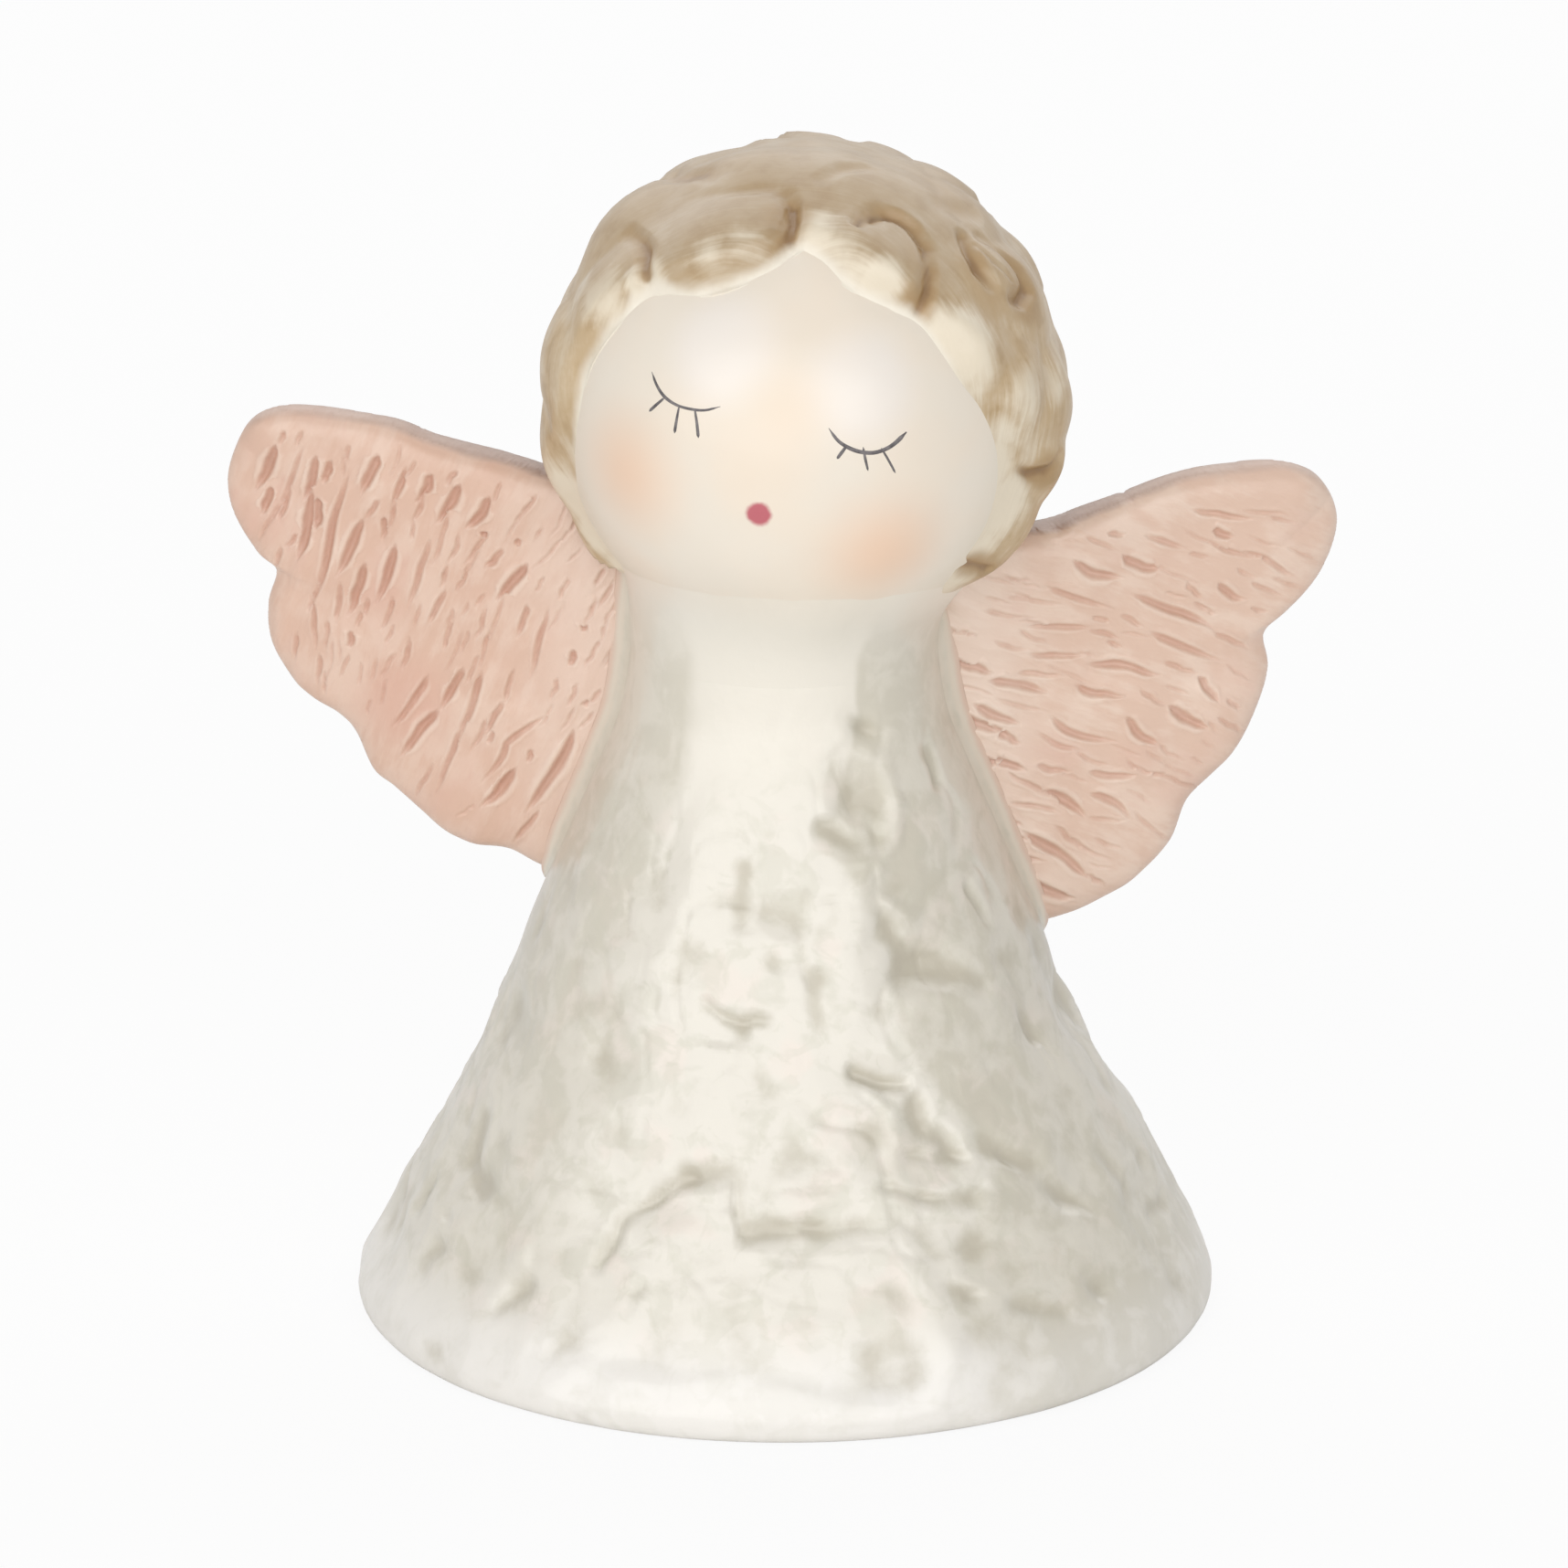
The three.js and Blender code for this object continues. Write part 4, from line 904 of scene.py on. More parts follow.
height += 0.08 * waves(ball_points, 4.5, 31) + 0.04 * waves(ball_points, 2, 32)
rim_line = np.vstack([on_ball(loop_directions), on_ball(loop_directions[:1])])
rim_gap = np.full(len(directions), np.inf)
rim_width, rim_softness = np.ones(len(directions)), np.ones(len(directions))
for a, b, width, softness in zip(rim_line[:-1], rim_line[1:], loop[:, 3], loop[:, 4]):
    gap = np.linalg.norm(ball_points - (a + b) / 2, axis=1)
    closer = gap < rim_gap
    rim_gap[closer], rim_width[closer], rim_softness[closer] = gap[closer], width, softness
rim_gap[:HAIR_COLUMNS] = 0
inward = np.clip(rim_gap / rim_width, 0, 1)
height = height * np.sin(inward * np.pi / 2) ** rim_softness - HAIR_SINK
outer = HEAD_MIDDLE + directions * (head_radius(directions) + height)[:, None]
under_directions = shell(np.linspace(1, 0, HAIR_UNDER_ROWS)[1:])
under = HEAD_MIDDLE + under_directions * (head_radius(under_directions) - 2 * HAIR_SINK)[:, None]
middle_radii = head_radius(back[None])[0] + np.array([[-2 * HAIR_SINK], [HAIR_THICKNESS + 0.6]])
corners = np.vstack([under, outer, HEAD_MIDDLE + back * middle_radii])
row_count = (len(corners) - 2) // HAIR_COLUMNS
fields = {
    "cut": cut, "across": across, "rubbed_and_highlight": spotted(ball_points, RUBBED_AND_HIGHLIGHT_SPOTS),
    "stained": spotted(ball_points, BROWN_SPOTS), "edge": np.clip(rim_gap / 2.4, 0, 1),
}
hair = new_piece(
    "hair_curls", corners, ring_faces(row_count, HAIR_COLUMNS),
    cap_faces(np.arange(HAIR_COLUMNS), len(corners) - 2, turned=True),
    cap_faces(np.arange((row_count - 1) * HAIR_COLUMNS, row_count * HAIR_COLUMNS), len(corners) - 1),
    **{name: np.r_[np.zeros(len(under)), values, 0, values[-1]] for name, values in fields.items()},
)


def hair_finish(start, at):
    beige, brown, dark = (0.53, 0.39, 0.23), (0.39, 0.25, 0.115), (0.23, 0.125, 0.05)
    ivory, grey, pale = (0.79, 0.705, 0.56), (0.34, 0.24, 0.138), (0.83, 0.765, 0.65)
    strands = start.node("ShaderNodeCombineXYZ", {}, {"X": start.field("across") * 1.1, "Y": 0.0, "Z": 0.0})
    strands = start.vector("ADD", {0: strands, 1: start.vector("SCALE", {0: at, "Scale": 130.0})})
    streaks = start.node("ShaderNodeTexNoise", {}, {
        "Vector": strands, "Scale": 1.9, "Detail": 4.0, "Roughness": 0.6})
    cloud, patch = start.noise(at, 5, 2), start.noise(at, 1.8, 3)
    cut, rubbed_and_highlight, stained, edge = (start.field(name) for name in ("cut", "rubbed_and_highlight", "stained", "edge"))
    colour = start.paint(beige, ivory, (streaks * 0.4 + cloud * 0.5 + patch * 0.5).ease(0.68, 0.9) * 0.4)
    colour = start.paint(colour, brown, (streaks * 0.3 + cloud * 0.4 + patch * 0.7).ease(0.7, 0.56) * 0.5)
    # Darker and greyer on the crown: partly the wash, partly painted shade on the top of the head.
    colour = start.paint(colour, grey, start.height(at).ease(72, 82) * 0.55)
    # Pale where the wash was rubbed off; on the big curl these pale spots are painted highlights.
    lightened = (rubbed_and_highlight + (streaks - 0.5) * 0.5 + (patch - 0.5) * 0.4).ease(0.15, 0.7)
    colour = start.paint(colour, ivory, lightened * 0.9)
    thick = (stained + (streaks - 0.5) * 0.4 + (patch - 0.5) * 0.3).ease(0.15, 0.8)
    colour = start.paint(colour, brown, thick * 0.75)
    # Brown and dark in the cuts, where the wash lies; along the big curl's lower edge it is partly painted
    # shade.
    carved = cut + (patch - 0.5) * 0.5
    colour = start.paint(colour, brown, carved.ease(0.1, 0.75) * 0.8)
    colour = start.paint(colour, dark, carved.ease(0.5, 1) * 0.72)
    # A narrow pale line along the rim, where the wash thins, is partly a painted highlight on the rounded
    # rim.
    colour = start.paint(colour, pale, (edge + (patch - 0.5) * 0.3).ease(0.5, 0.1))
    return {
        "Base Color": colour,
        "Roughness": 0.34 + streaks * 0.14,
        "Coat Weight": 0.2,
        "Coat Roughness": 0.12,
        "Normal": start.bump(streaks, 0.025, start.bump(patch, 0.06)),
    }


hair.data.materials.append(new_glaze("hair glaze over brown wash and painted light", hair_finish))
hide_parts("hair")
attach(hair, "root")

# Wings
# Two thick plates with a lobed lower edge, each pressed in its own mould and luted to a shoulder.
# The feathers are short gouges, cut while the clay was soft, and a dusty pink wash lies darker in
# them under the glaze. The top edge of each plate is painted dusky brown as painted shade.
WING_REACH = 40.2
WING_HEIGHT = 33.1
WING_SWEEP = math.radians(12)
WING_SHOULDER = 10.6
WING_ROOT_HALF, WING_TIP_HALF = 2.6, 1.8
WING_STEPS, WING_EDGE_CORNERS = (0.118, 0.175), 860
WING_MIDDLE = (0.53, 0.5)
GOUGE_DEPTH, GOUGE_BURR = 0.34, 0.22
GOUGE_POINTS = 17
GOUGE_JOIN = 0.35
GOUGE_OVERRUN = 0.14
FINE_STROKES, FINE_STROKE_ROOM = 64, 0.87
LEFT_WING_LIFT, RIGHT_WING_LIFT = 26.59, 30.69
# Each outline goes round from the shoulder over the tip, as shares of the reach and of the height
LEFT_WING_OUTLINE = [
    (0.478, 0.895), (0.6, 0.943), (0.7, 0.982), (0.79, 0.997), (0.891, 0.998), (0.959, 0.961),
    (0.995, 0.868), (0.969, 0.757), (0.916, 0.679), (0.866, 0.622), (0.873, 0.541), (0.847, 0.438),
    (0.812, 0.36), (0.775, 0.313), (0.727, 0.255), (0.697, 0.165), (0.634, 0.087), (0.583, 0.051),
    (0.511, 0.015), (0.43, 0.008), (0.39, 0.09), (0.345, 0.25), (0.29, 0.42), (0.245, 0.6), (0.245, 0.77),
    (0.36, 0.87),
]
RIGHT_WING_OUTLINE = [
    (0.422, 0.894), (0.491, 0.916), (0.621, 0.948), (0.707, 0.982), (0.847, 0.998), (0.916, 0.991),
    (0.957, 0.961), (0.985, 0.9), (1, 0.83), (0.99, 0.758), (0.952, 0.679), (0.914, 0.636), (0.929, 0.56),
    (0.924, 0.476), (0.888, 0.397), (0.855, 0.358), (0.802, 0.321), (0.771, 0.282), (0.74, 0.2),
    (0.702, 0.164), (0.654, 0.115), (0.608, 0.07), (0.557, 0.045), (0.494, 0.04), (0.42, 0.005),
    (0.385, 0.06), (0.335, 0.18), (0.29, 0.31), (0.248, 0.47), (0.238, 0.64), (0.31, 0.8), (0.355, 0.875),
]
# Gouges on each front: out and up in millimetres at both ends, and the mark's width
LEFT_WING_GOUGES = [
    (18.2, 56.5, 21, 57.1, 0.77), (20.4, 54, 21.9, 53, 0.72), (21.9, 53.1, 23.7, 52.5, 0.62),
    (24, 54.1, 25.4, 53.3, 0.77), (25.4, 53.4, 26.9, 53, 0.57), (25.8, 55.3, 28.2, 54.4, 0.41),
    (29.1, 57, 31, 56.5, 0.36), (30.7, 56.5, 33.3, 56.2, 0.31), (24.9, 51, 27.3, 50, 0.57),
    (27.3, 50, 29.7, 48.8, 0.57), (29.4, 48.9, 30.8, 48, 0.41), (32.7, 53.7, 34.1, 53.3, 0.41),
    (34.2, 53.1, 36.3, 51.7, 0.46), (31, 51.4, 32.1, 50.4, 0.52), (32.1, 50.4, 33, 50.2, 0.31),
    (17.5, 49.3, 21.4, 49, 0.46), (26.1, 48.2, 28.5, 47, 0.46), (28.5, 47, 31.1, 45.8, 0.46),
    (18.5, 52.2, 20.6, 51.4, 0.36), (20.6, 51.3, 23, 50.4, 0.39), (17.6, 47.3, 20.9, 46.9, 0.39),
    (21.7, 46.2, 24, 46.1, 0.52), (24, 46.1, 26.5, 45.1, 0.52), (11.9, 47.1, 14.3, 46.2, 0.67),
    (14.5, 45.5, 16.7, 45, 0.62), (16.7, 45, 18.3, 44.3, 0.72), (20.7, 44.8, 21.8, 44.1, 0.57),
    (21.8, 44.1, 24, 43.7, 0.36), (13.5, 43.7, 16.2, 42.4, 0.77), (12.5, 43, 14.8, 41.8, 0.67),
    (14.6, 42.1, 16.3, 40.8, 0.57), (18.9, 42.5, 20.2, 41.5, 0.52), (20.2, 41.5, 23.3, 40.5, 0.46),
    (24.3, 42.1, 25.2, 41, 0.52), (25.2, 41, 26.5, 40, 0.57), (27.5, 42.6, 29, 41.5, 0.88),
    (29, 41.6, 30.2, 40.9, 0.67), (29.7, 44.5, 30.9, 42.9, 0.46), (14.1, 39.8, 16.7, 38.9, 0.62),
    (17.9, 39, 20, 38.5, 0.41), (21.9, 38.2, 24.7, 37.9, 0.57), (16, 38.4, 18.9, 36.7, 0.36),
    (16.1, 36.4, 17.9, 36.1, 0.36), (17.9, 36.1, 19.3, 35.5, 0.52), (18.4, 37, 20, 36.3, 0.67),
    (20, 36.3, 21.2, 35.1, 0.77), (21.8, 36.5, 23.4, 36, 0.46), (23.4, 36, 24.6, 34.6, 0.52),
    (17, 33.9, 19.1, 32.4, 0.98), (19.1, 32.4, 21.5, 30.4, 0.88), (17.1, 30.5, 18.9, 29.5, 0.77),
    (18.9, 29.5, 20.6, 28.7, 0.67), (19.4, 34.2, 21.3, 32.4, 0.36), (18.1, 41.3, 20.7, 40, 0.31),
    (21.8, 34.8, 24.1, 34.4, 0.21), (30.6, 55.4, 31.8, 55, 0.67), (28.7, 51.6, 29.6, 50.5, 0.31),
    (23.9, 58.3, 25, 58, 0.57), (32.5, 52.5, 33.7, 51.7, 0.26), (22.2, 33.1, 24.1, 32.2, 0.23),
    (14.8, 48.4, 16.9, 47.7, 0.26), (28.9, 53.9, 30.1, 53.5, 0.23), (34.8, 56.2, 36.4, 55.6, 0.23),
]
RIGHT_WING_GOUGES = [
    (36.4, 61, 37.8, 58.1, 0.98), (36.7, 57.9, 37.3, 56.2, 0.65), (34.5, 60.9, 36.9, 55.5, 0.28),
    (33.3, 60.4, 34.1, 57.7, 1.1), (33.7, 57.7, 34.6, 53.5, 1.1), (32.2, 60.3, 32.7, 58.9, 0.57),
    (33.2, 57.4, 33.4, 55.5, 0.72), (31, 59.3, 32, 56.5, 0.46), (32, 56.5, 32.7, 52.9, 0.57),
    (32.7, 52.9, 33.7, 49.9, 0.46), (29.9, 56.2, 30.8, 53.9, 0.62), (30.8, 53.9, 31.7, 52.2, 0.52),
    (28.8, 60.9, 29.8, 58.6, 0.72), (26.8, 60.1, 27.6, 57.6, 0.41), (28.7, 57.8, 29.6, 56.5, 0.34),
    (24.9, 59.8, 25.8, 58.1, 0.67), (22.8, 59.1, 24.2, 56.7, 0.88), (25, 55.1, 25.7, 52.8, 0.41),
    (25.7, 52.8, 26.6, 50, 0.36), (28.2, 56.5, 28.5, 55, 0.36), (27.5, 54.4, 28.3, 51.9, 0.67),
    (28.4, 52.1, 29, 50.2, 0.41), (29.9, 52.8, 30.9, 49.6, 0.57), (20.7, 58.4, 22.2, 56.4, 0.67),
    (20.9, 56, 21, 55.6, 0.62), (18.4, 55.6, 18.7, 55.2, 0.44), (19.7, 54.7, 20.9, 53.5, 0.41),
    (18.1, 53.6, 19.9, 51.3, 0.7), (24, 51.3, 25.1, 49.2, 0.36), (31.5, 51.3, 31.9, 48.8, 0.36),
    (33.8, 50.1, 33.6, 46.8, 0.34), (32.5, 48.5, 32.8, 46.8, 0.28), (30.8, 47.9, 30.9, 46.9, 0.46),
    (18, 50.7, 18.6, 48.6, 0.36), (16.6, 50.3, 17.7, 45.9, 0.34), (13.7, 49.7, 13.9, 49.3, 0.46),
    (14.5, 47.7, 14.9, 46.8, 0.52), (22.8, 45.6, 24.1, 43, 0.57), (21.4, 45.2, 22.9, 40.9, 0.44),
    (25.4, 44.8, 27.7, 41.5, 0.41), (24.8, 42.3, 27.1, 39.3, 0.62), (19.9, 43.4, 21.1, 41.3, 0.46),
    (20.5, 41.3, 20.8, 40.5, 0.34), (16.9, 42.6, 19.4, 40.9, 0.31), (19.3, 41, 19.9, 39.6, 0.39),
    (19.9, 39.6, 21.3, 37.6, 0.31), (22.8, 41.2, 24.6, 36.9, 0.39), (13.6, 44, 14, 43.8, 0.39),
    (14.8, 41.5, 16.5, 38.7, 0.83), (16.5, 38.7, 18, 35.7, 0.62), (19, 38.5, 20.3, 36.7, 0.67),
    (20.3, 36.7, 21.5, 35.6, 0.36), (17.7, 40.1, 18, 39.3, 0.41), (35.5, 62.3, 35.9, 61.4, 0.36),
    (34.8, 54.7, 35.5, 53.9, 0.26), (29.6, 50.4, 29.8, 49.4, 0.31), (23.4, 50.1, 23.8, 48.9, 0.26),
    (26.6, 47.7, 27.1, 45.7, 0.31), (19, 45.8, 19.6, 43.8, 0.31), (15.8, 45.5, 16.3, 44, 0.26),
    (34.3, 62.4, 34.7, 61.4, 0.23), (30.9, 61.6, 31, 60.5, 0.23), (33.3, 51.1, 34, 49.4, 0.31),
    (30.2, 49.4, 30.4, 48.4, 0.26), (35.3, 58, 36, 55.8, 0.36), (26.1, 56.4, 26.3, 55.2, 0.23),
    (23.7, 53.2, 24.2, 51.7, 0.26),
]


def wing_half(out):
    share = np.clip((out - WING_SHOULDER) / (WING_REACH - WING_SHOULDER), 0, 1)
    return WING_ROOT_HALF + (WING_TIP_HALF - WING_ROOT_HALF) * share


def wing_to_figure(points, side):
    """Turns points of a wing's own plane, given as out, back and up, into the figure's frame."""
    out, behind, up = points.T
    cos, sin = math.cos(WING_SWEEP), math.sin(WING_SWEEP)
    return np.stack([side * (out * cos - behind * sin), out * sin + behind * cos, up], -1)


def feather_angle(gouges, out=0.0, up=0.0, reach=1e3):
    """The direction of the tool's strokes, over a whole wing or round one place on it."""
    total = np.zeros(2)
    for out_a, up_a, out_b, up_b, _ in gouges:
        angle = 2 * math.atan2(up_b - up_a, out_b - out_a)
        weight = math.exp(-((out - (out_a + out_b) / 2) ** 2 + (up - (up_a + up_b) / 2) ** 2) / reach ** 2)
        total += weight * np.array([math.cos(angle), math.sin(angle)])
    return math.atan2(total[1], total[0]) / 2


def within(edge, out, up):
    """Which places lie inside a closed outline."""
    inside = np.zeros(out.shape, bool)
    for a, b in zip(edge, np.roll(edge, -1, 0)):
        if a[1] != b[1]:
            reached = a[0] + (up - a[1]) * (b[0] - a[0]) / (b[1] - a[1])
            inside ^= ((a[1] > up) != (b[1] > up)) & (out < reached)
    return inside


def wing_face(edge, step):
    """The corners and triangles of a flat face inside the edge, on a lattice with the given step."""
    spans = zip(edge.min(0), edge.max(0), (step, 0.866 * step))
    out, up = np.meshgrid(*(np.arange(low, high, size) for low, high, size in spans))
    out[1::2] += step / 2
    gap = np.full(out.shape, np.inf)
    for corner in edge:
        gap = np.minimum(gap, np.hypot(out - corner[0], up - corner[1]))
    kept = within(edge, out, up) & (gap > 0.6 * step)
    corners = np.vstack([edge, np.column_stack([out[kept], up[kept]])])
    links = [(place, (place + 1) % len(edge)) for place in range(len(edge))]
    faces = np.array(delaunay_2d_cdt([Vector(corner) for corner in corners], links, [], 1, 1e-6, False)[2])
    return corners, faces[within(edge, *corners[faces].mean(1).T)]


def wing_plate(name, outline, gouges, lift, side):
    """Two faces that meet along the outline, swelling apart quickly at the rim."""
    given = np.array(outline) * (WING_REACH, WING_HEIGHT) + (0, lift)
    edge = smooth_curve(np.vstack([given, given[:1]]), WING_EDGE_CORNERS + 1)[:-1]
    (front, front_faces), (back, back_faces) = (wing_face(edge, step) for step in WING_STEPS)
    middle = np.array(WING_MIDDLE) * (WING_REACH, WING_HEIGHT) + (0, lift)
    along = np.roll(edge, -6, 0) - np.roll(edge, 6, 0)
    level = np.clip((along[:, 0] / np.linalg.norm(along, axis=1) - 0.45) / 0.4, 0, 1)
    level = level * (edge[:, 1] > lift + 0.7 * WING_HEIGHT)
    edge_turns, edge_reach = np.arctan2(*(edge - middle).T), np.hypot(*(edge - middle).T)
    order = np.argsort(edge_turns)
    flat = np.vstack([front, back[len(edge):]])
    face = np.r_[np.zeros(len(edge)), -np.ones(len(front) - len(edge)), np.ones(len(back) - len(edge))]
    turns, reach = np.arctan2(*(flat - middle).T), np.hypot(*(flat - middle).T)
    share = np.clip(reach / np.interp(turns, edge_turns[order], edge_reach[order], period=2 * np.pi), 0, 1)
    top = np.interp(turns, edge_turns[order], level[order], period=2 * np.pi)
    out, up = flat.T
    points = np.column_stack([out, face * wing_half(out) * np.sqrt(1 - share ** (9 + 17 * top)), up])
    seat = np.column_stack([out, face * (wing_half(out) + 0.05), up])
    facing = face * np.clip(np.abs(points[:, 1]) / 1.2, 0, 1)
    angle = feather_angle(gouges)
    across = up * math.cos(angle) - out * math.sin(angle)
    onward = up * math.sin(angle) + out * math.cos(angle)
    lumps = points + 50 * side
    across = across + 0.5 * waves(lumps, 6, 44)
    combed = np.column_stack([across / 1.1, onward / 5, face * 3 + 9 * side])
    points[:, 1] += facing * (0.24 * waves(lumps, 7, 41) + 0.09 * waves(lumps, 2.6, 42))
    points[:, 1] += facing * 0.09 * waves(combed, 1, 43)
    back_faces = np.where(back_faces >= len(edge), back_faces + len(front) - len(edge), back_faces)[:, ::-1]
    faces = (front_faces, back_faces) if side > 0 else (front_faces[:, ::-1], back_faces[:, ::-1])
    return new_piece(
        name, wing_to_figure(points, side), *faces, rim=share, top=top, out=out, behind=0.5 + face / 2,
        across=across, onward=onward, seat=wing_to_figure(seat, side) * MM,
    )


def gouge_lines(name, gouges, outline, lift, side):
    """The tool's strokes on the front with finer ones between them, and freer ones on the back."""
    draw = np.random.default_rng(51)
    middle = np.array(WING_MIDDLE) * (WING_REACH, WING_HEIGHT) + (0, lift)
    rim_points = np.array(outline) * (WING_REACH, WING_HEIGHT) + (0, lift)
    cleared = [((a + c) / 2, (b + d) / 2, math.hypot(c - a, d - b) / 2) for a, b, c, d, _ in gouges]
    fine = []
    while len(fine) < FINE_STROKES:
        out, up = draw.uniform((11, lift), (WING_REACH, lift + WING_HEIGHT))
        crowded = any(math.hypot(out - x, up - z) < 0.7 + 0.62 * reach for x, z, reach in cleared)
        outwards = middle + (np.array([out, up]) - middle) / FINE_STROKE_ROOM
        if within(rim_points, *outwards) and not crowded:
            cleared.append((out, up, 0.6))
            angle = feather_angle(gouges, out, up, 4.5) + draw.normal(0, 0.1)
            reach = draw.uniform(0.5, 1.7)
            step = reach * np.array([math.cos(angle), math.sin(angle)])
            fine.append((out - step[0], up - step[1], out + step[0], up + step[1], draw.uniform(0.12, 0.32)))
    # Gouges that follow on from one another were cut in one stroke
    chains = []
    for out_a, up_a, out_b, up_b, width in list(gouges) + fine:
        if not chains or math.dist(chains[-1][-1][:2], (out_a, up_a)) > GOUGE_JOIN:
            chains.append([(out_a, up_a, width)])
        chains[-1].append((out_b, up_b, width))
    strokes, widths = [], []
    for chain in chains:
        for face in (-1, 1):
            chain = np.array(chain)
            first = GOUGE_OVERRUN * (chain[0, :2] - chain[1, :2])
            last = GOUGE_OVERRUN * (chain[-1, :2] - chain[-2, :2])
            ends = [np.r_[chain[0, :2] + first, chain[0, 2]], np.r_[chain[-1, :2] + last, chain[-1, 2]]]
            out, up, width = smooth_curve(np.vstack([ends[:1], chain[1:-1], ends[1:]]), GOUGE_POINTS).T
            share = np.linspace(0, 1, GOUGE_POINTS)
            along = np.array([out[-1] - out[0], up[-1] - up[0]])
            length = np.linalg.norm(along)
            bow = draw.uniform(-0.02, 0.06) * length * np.sin(np.pi * share)
            bow += np.interp(share, np.linspace(0, 1, 6), draw.uniform(-0.09, 0.09, 6))
            shift = draw.uniform(-1, 1, 2) * (face > 0)
            out, up = out + shift[0] + along[1] / length * bow, up + shift[1] - along[0] / length * bow
            strokes.append(wing_to_figure(np.stack([out, face * (wing_half(out) + 0.05), up], -1), side))
            swell = np.interp(share, (0, 0.15, 0.4, 0.75, 1), (0.1, 0.85, 1, 0.8, 0.1))
            swell *= np.interp(share, np.linspace(0, 1, 6), draw.uniform(0.8, 1.15, 6))
            widths.append(np.minimum(0.66 * width + 0.05, 0.52) * swell + 0.04)
    return stroke_lines(name, strokes, widths)


def gouge_tree(material):
    tree, given = new_tree("gouged feathers", {
        "Strokes": "NodeSocketObject", "Depth": "NodeSocketFloat", "Burr": "NodeSocketFloat"})
    start = Wire(tree)
    lines = start.node("GeometryNodeMeshToCurve", {}, {"Mesh": start.shape(given("Strokes"))})
    lines = start.node("GeometryNodeCurveToMesh", {}, {"Curve": start.resampled(lines, 0.12)})
    width, seat = start.stored("half_width"), start.stored("seat", "FLOAT_VECTOR")
    nearest = start.node("GeometryNodeSampleNearest", {"domain": "POINT"}, {
        "Geometry": lines, "Sample Position": seat})
    width = start.node("GeometryNodeSampleIndex", {"data_type": "FLOAT", "domain": "POINT"},
                       {"Geometry": lines, "Value": width, "Index": nearest})
    distance = start.node("GeometryNodeProximity", {"target_element": "EDGES"},
                          {0: lines, "Sample Position": seat}, out="Distance")
    share = distance / width
    hollow = start.math("MAXIMUM", 1 - start.math("POWER", share, 1.6), 0.0)
    hollow = start.math("POWER", hollow, 1.4)
    wide = (share - 1.15) / 0.75
    burr = start.math("MAXIMUM", 1 - wide * wide, 0.0)
    off_rim = start.math("MINIMUM", (1 - start.stored("rim")) * 30, 1.0)
    depth = start.math("MINIMUM", width / (0.5 * MM), 1.4) * off_rim * given("Depth")
    rise = (burr * given("Burr") - hollow) * depth
    normal = start.node("GeometryNodeInputNormal")
    offset = start.vector("SCALE", {0: normal, "Scale": rise})
    plate = given("Geometry")
    strength = start.math("MINIMUM", width / (0.45 * MM), 1.0)
    for field, values in (("gouge", hollow * strength), ("lip", burr * strength)):
        plate = start.node("GeometryNodeStoreNamedAttribute", {"data_type": "FLOAT", "domain": "POINT"},
                           {"Geometry": plate, "Name": field, "Value": values})
    plate = start.node("GeometryNodeSetPosition", {}, {"Geometry": plate, "Offset": offset})
    plate = start.node("GeometryNodeRealizeInstances", {}, {"Geometry": plate})
    plate = start.node("GeometryNodeSetMaterial", {}, {"Geometry": plate, "Material": material})
    start.node("NodeGroupOutput", {}, {"Geometry": plate})
    return tree


def wing_finish(start, at):
    pink, deep, cream = (0.69, 0.475, 0.365), (0.51, 0.27, 0.19), (0.8, 0.635, 0.525)
    dusky, rose = (0.36, 0.225, 0.165), (0.66, 0.39, 0.3)
    pale, ruddy = (0.86, 0.73, 0.63), (0.64, 0.4, 0.3)
    cloud, patches = start.noise(at, 6, 2), start.noise(at, 2.4, 3)
    grain = start.noise(at, 0.8, 3, 0.6)
    gouge, lip, rim, out = (start.field(name) for name in ("gouge", "lip", "rim", "out"))
    combed = start.node("ShaderNodeCombineXYZ", {}, {
        "X": start.field("across") * 1.25, "Y": start.field("onward") * 0.3, "Z": cloud})
    combed = start.node("ShaderNodeTexNoise", {}, {
        "Vector": combed, "Scale": 1.0, "Detail": 3.0, "Roughness": 0.6})
    colour = start.paint(pink, cream, (cloud * 0.5 + patches * 0.4 + combed * 0.5).ease(0.62, 0.82) * 0.65)
    colour = start.paint(colour, rose, (start.noise(at, 7.5, 2) * 0.8 + combed * 0.4).ease(0.62, 0.85) * 0.6)
    flushed = wing_to_figure(np.array([[27, -2, 43]]), -1)[0]
    colour = start.paint(colour, rose, (start.near(at, flushed) + combed * 2).ease(6, 2) * 0.7)
    colour = start.paint(colour, pale, (out + (cloud - 0.5) * 6).ease(20, 13) * 0.55)
    left = start.node("ShaderNodeSeparateXYZ", {}, {0: at}, out="X").ease(-MM, MM)
    colour = start.paint(colour, cream, left * 0.2)
    colour = start.paint(colour, ruddy, (1 - left) * 0.3)
    colour = start.paint(colour, cream, (lip * 0.7 + combed * 0.5).ease(0.45, 1.1) * 0.55)
    filled = (gouge + (grain - 0.5) * 0.5 + (patches - 0.5) * 0.3).ease(0, 0.9)
    colour = start.paint(colour, deep, filled * (0.74 - left * 0.2))
    # Painted shade: the top edge is painted dusky brown, more towards the root.
    upper = (rim + (patches - 0.5) * 0.02 + start.field("behind") * 0.05).ease(0.972, 0.997)
    upper = start.field("top") * upper
    colour = start.paint(colour, dusky, upper * (0.4 + grain * 0.3 + out.ease(35, 20) * 0.4))
    return {
        "Base Color": colour,
        "Roughness": 0.36 + grain * 0.14,
        "Coat Weight": 0.2,
        "Coat Roughness": 0.16,
        "Normal": start.bump(combed, 0.08, start.bump(patches + grain * 0.35, 0.08)),
    }


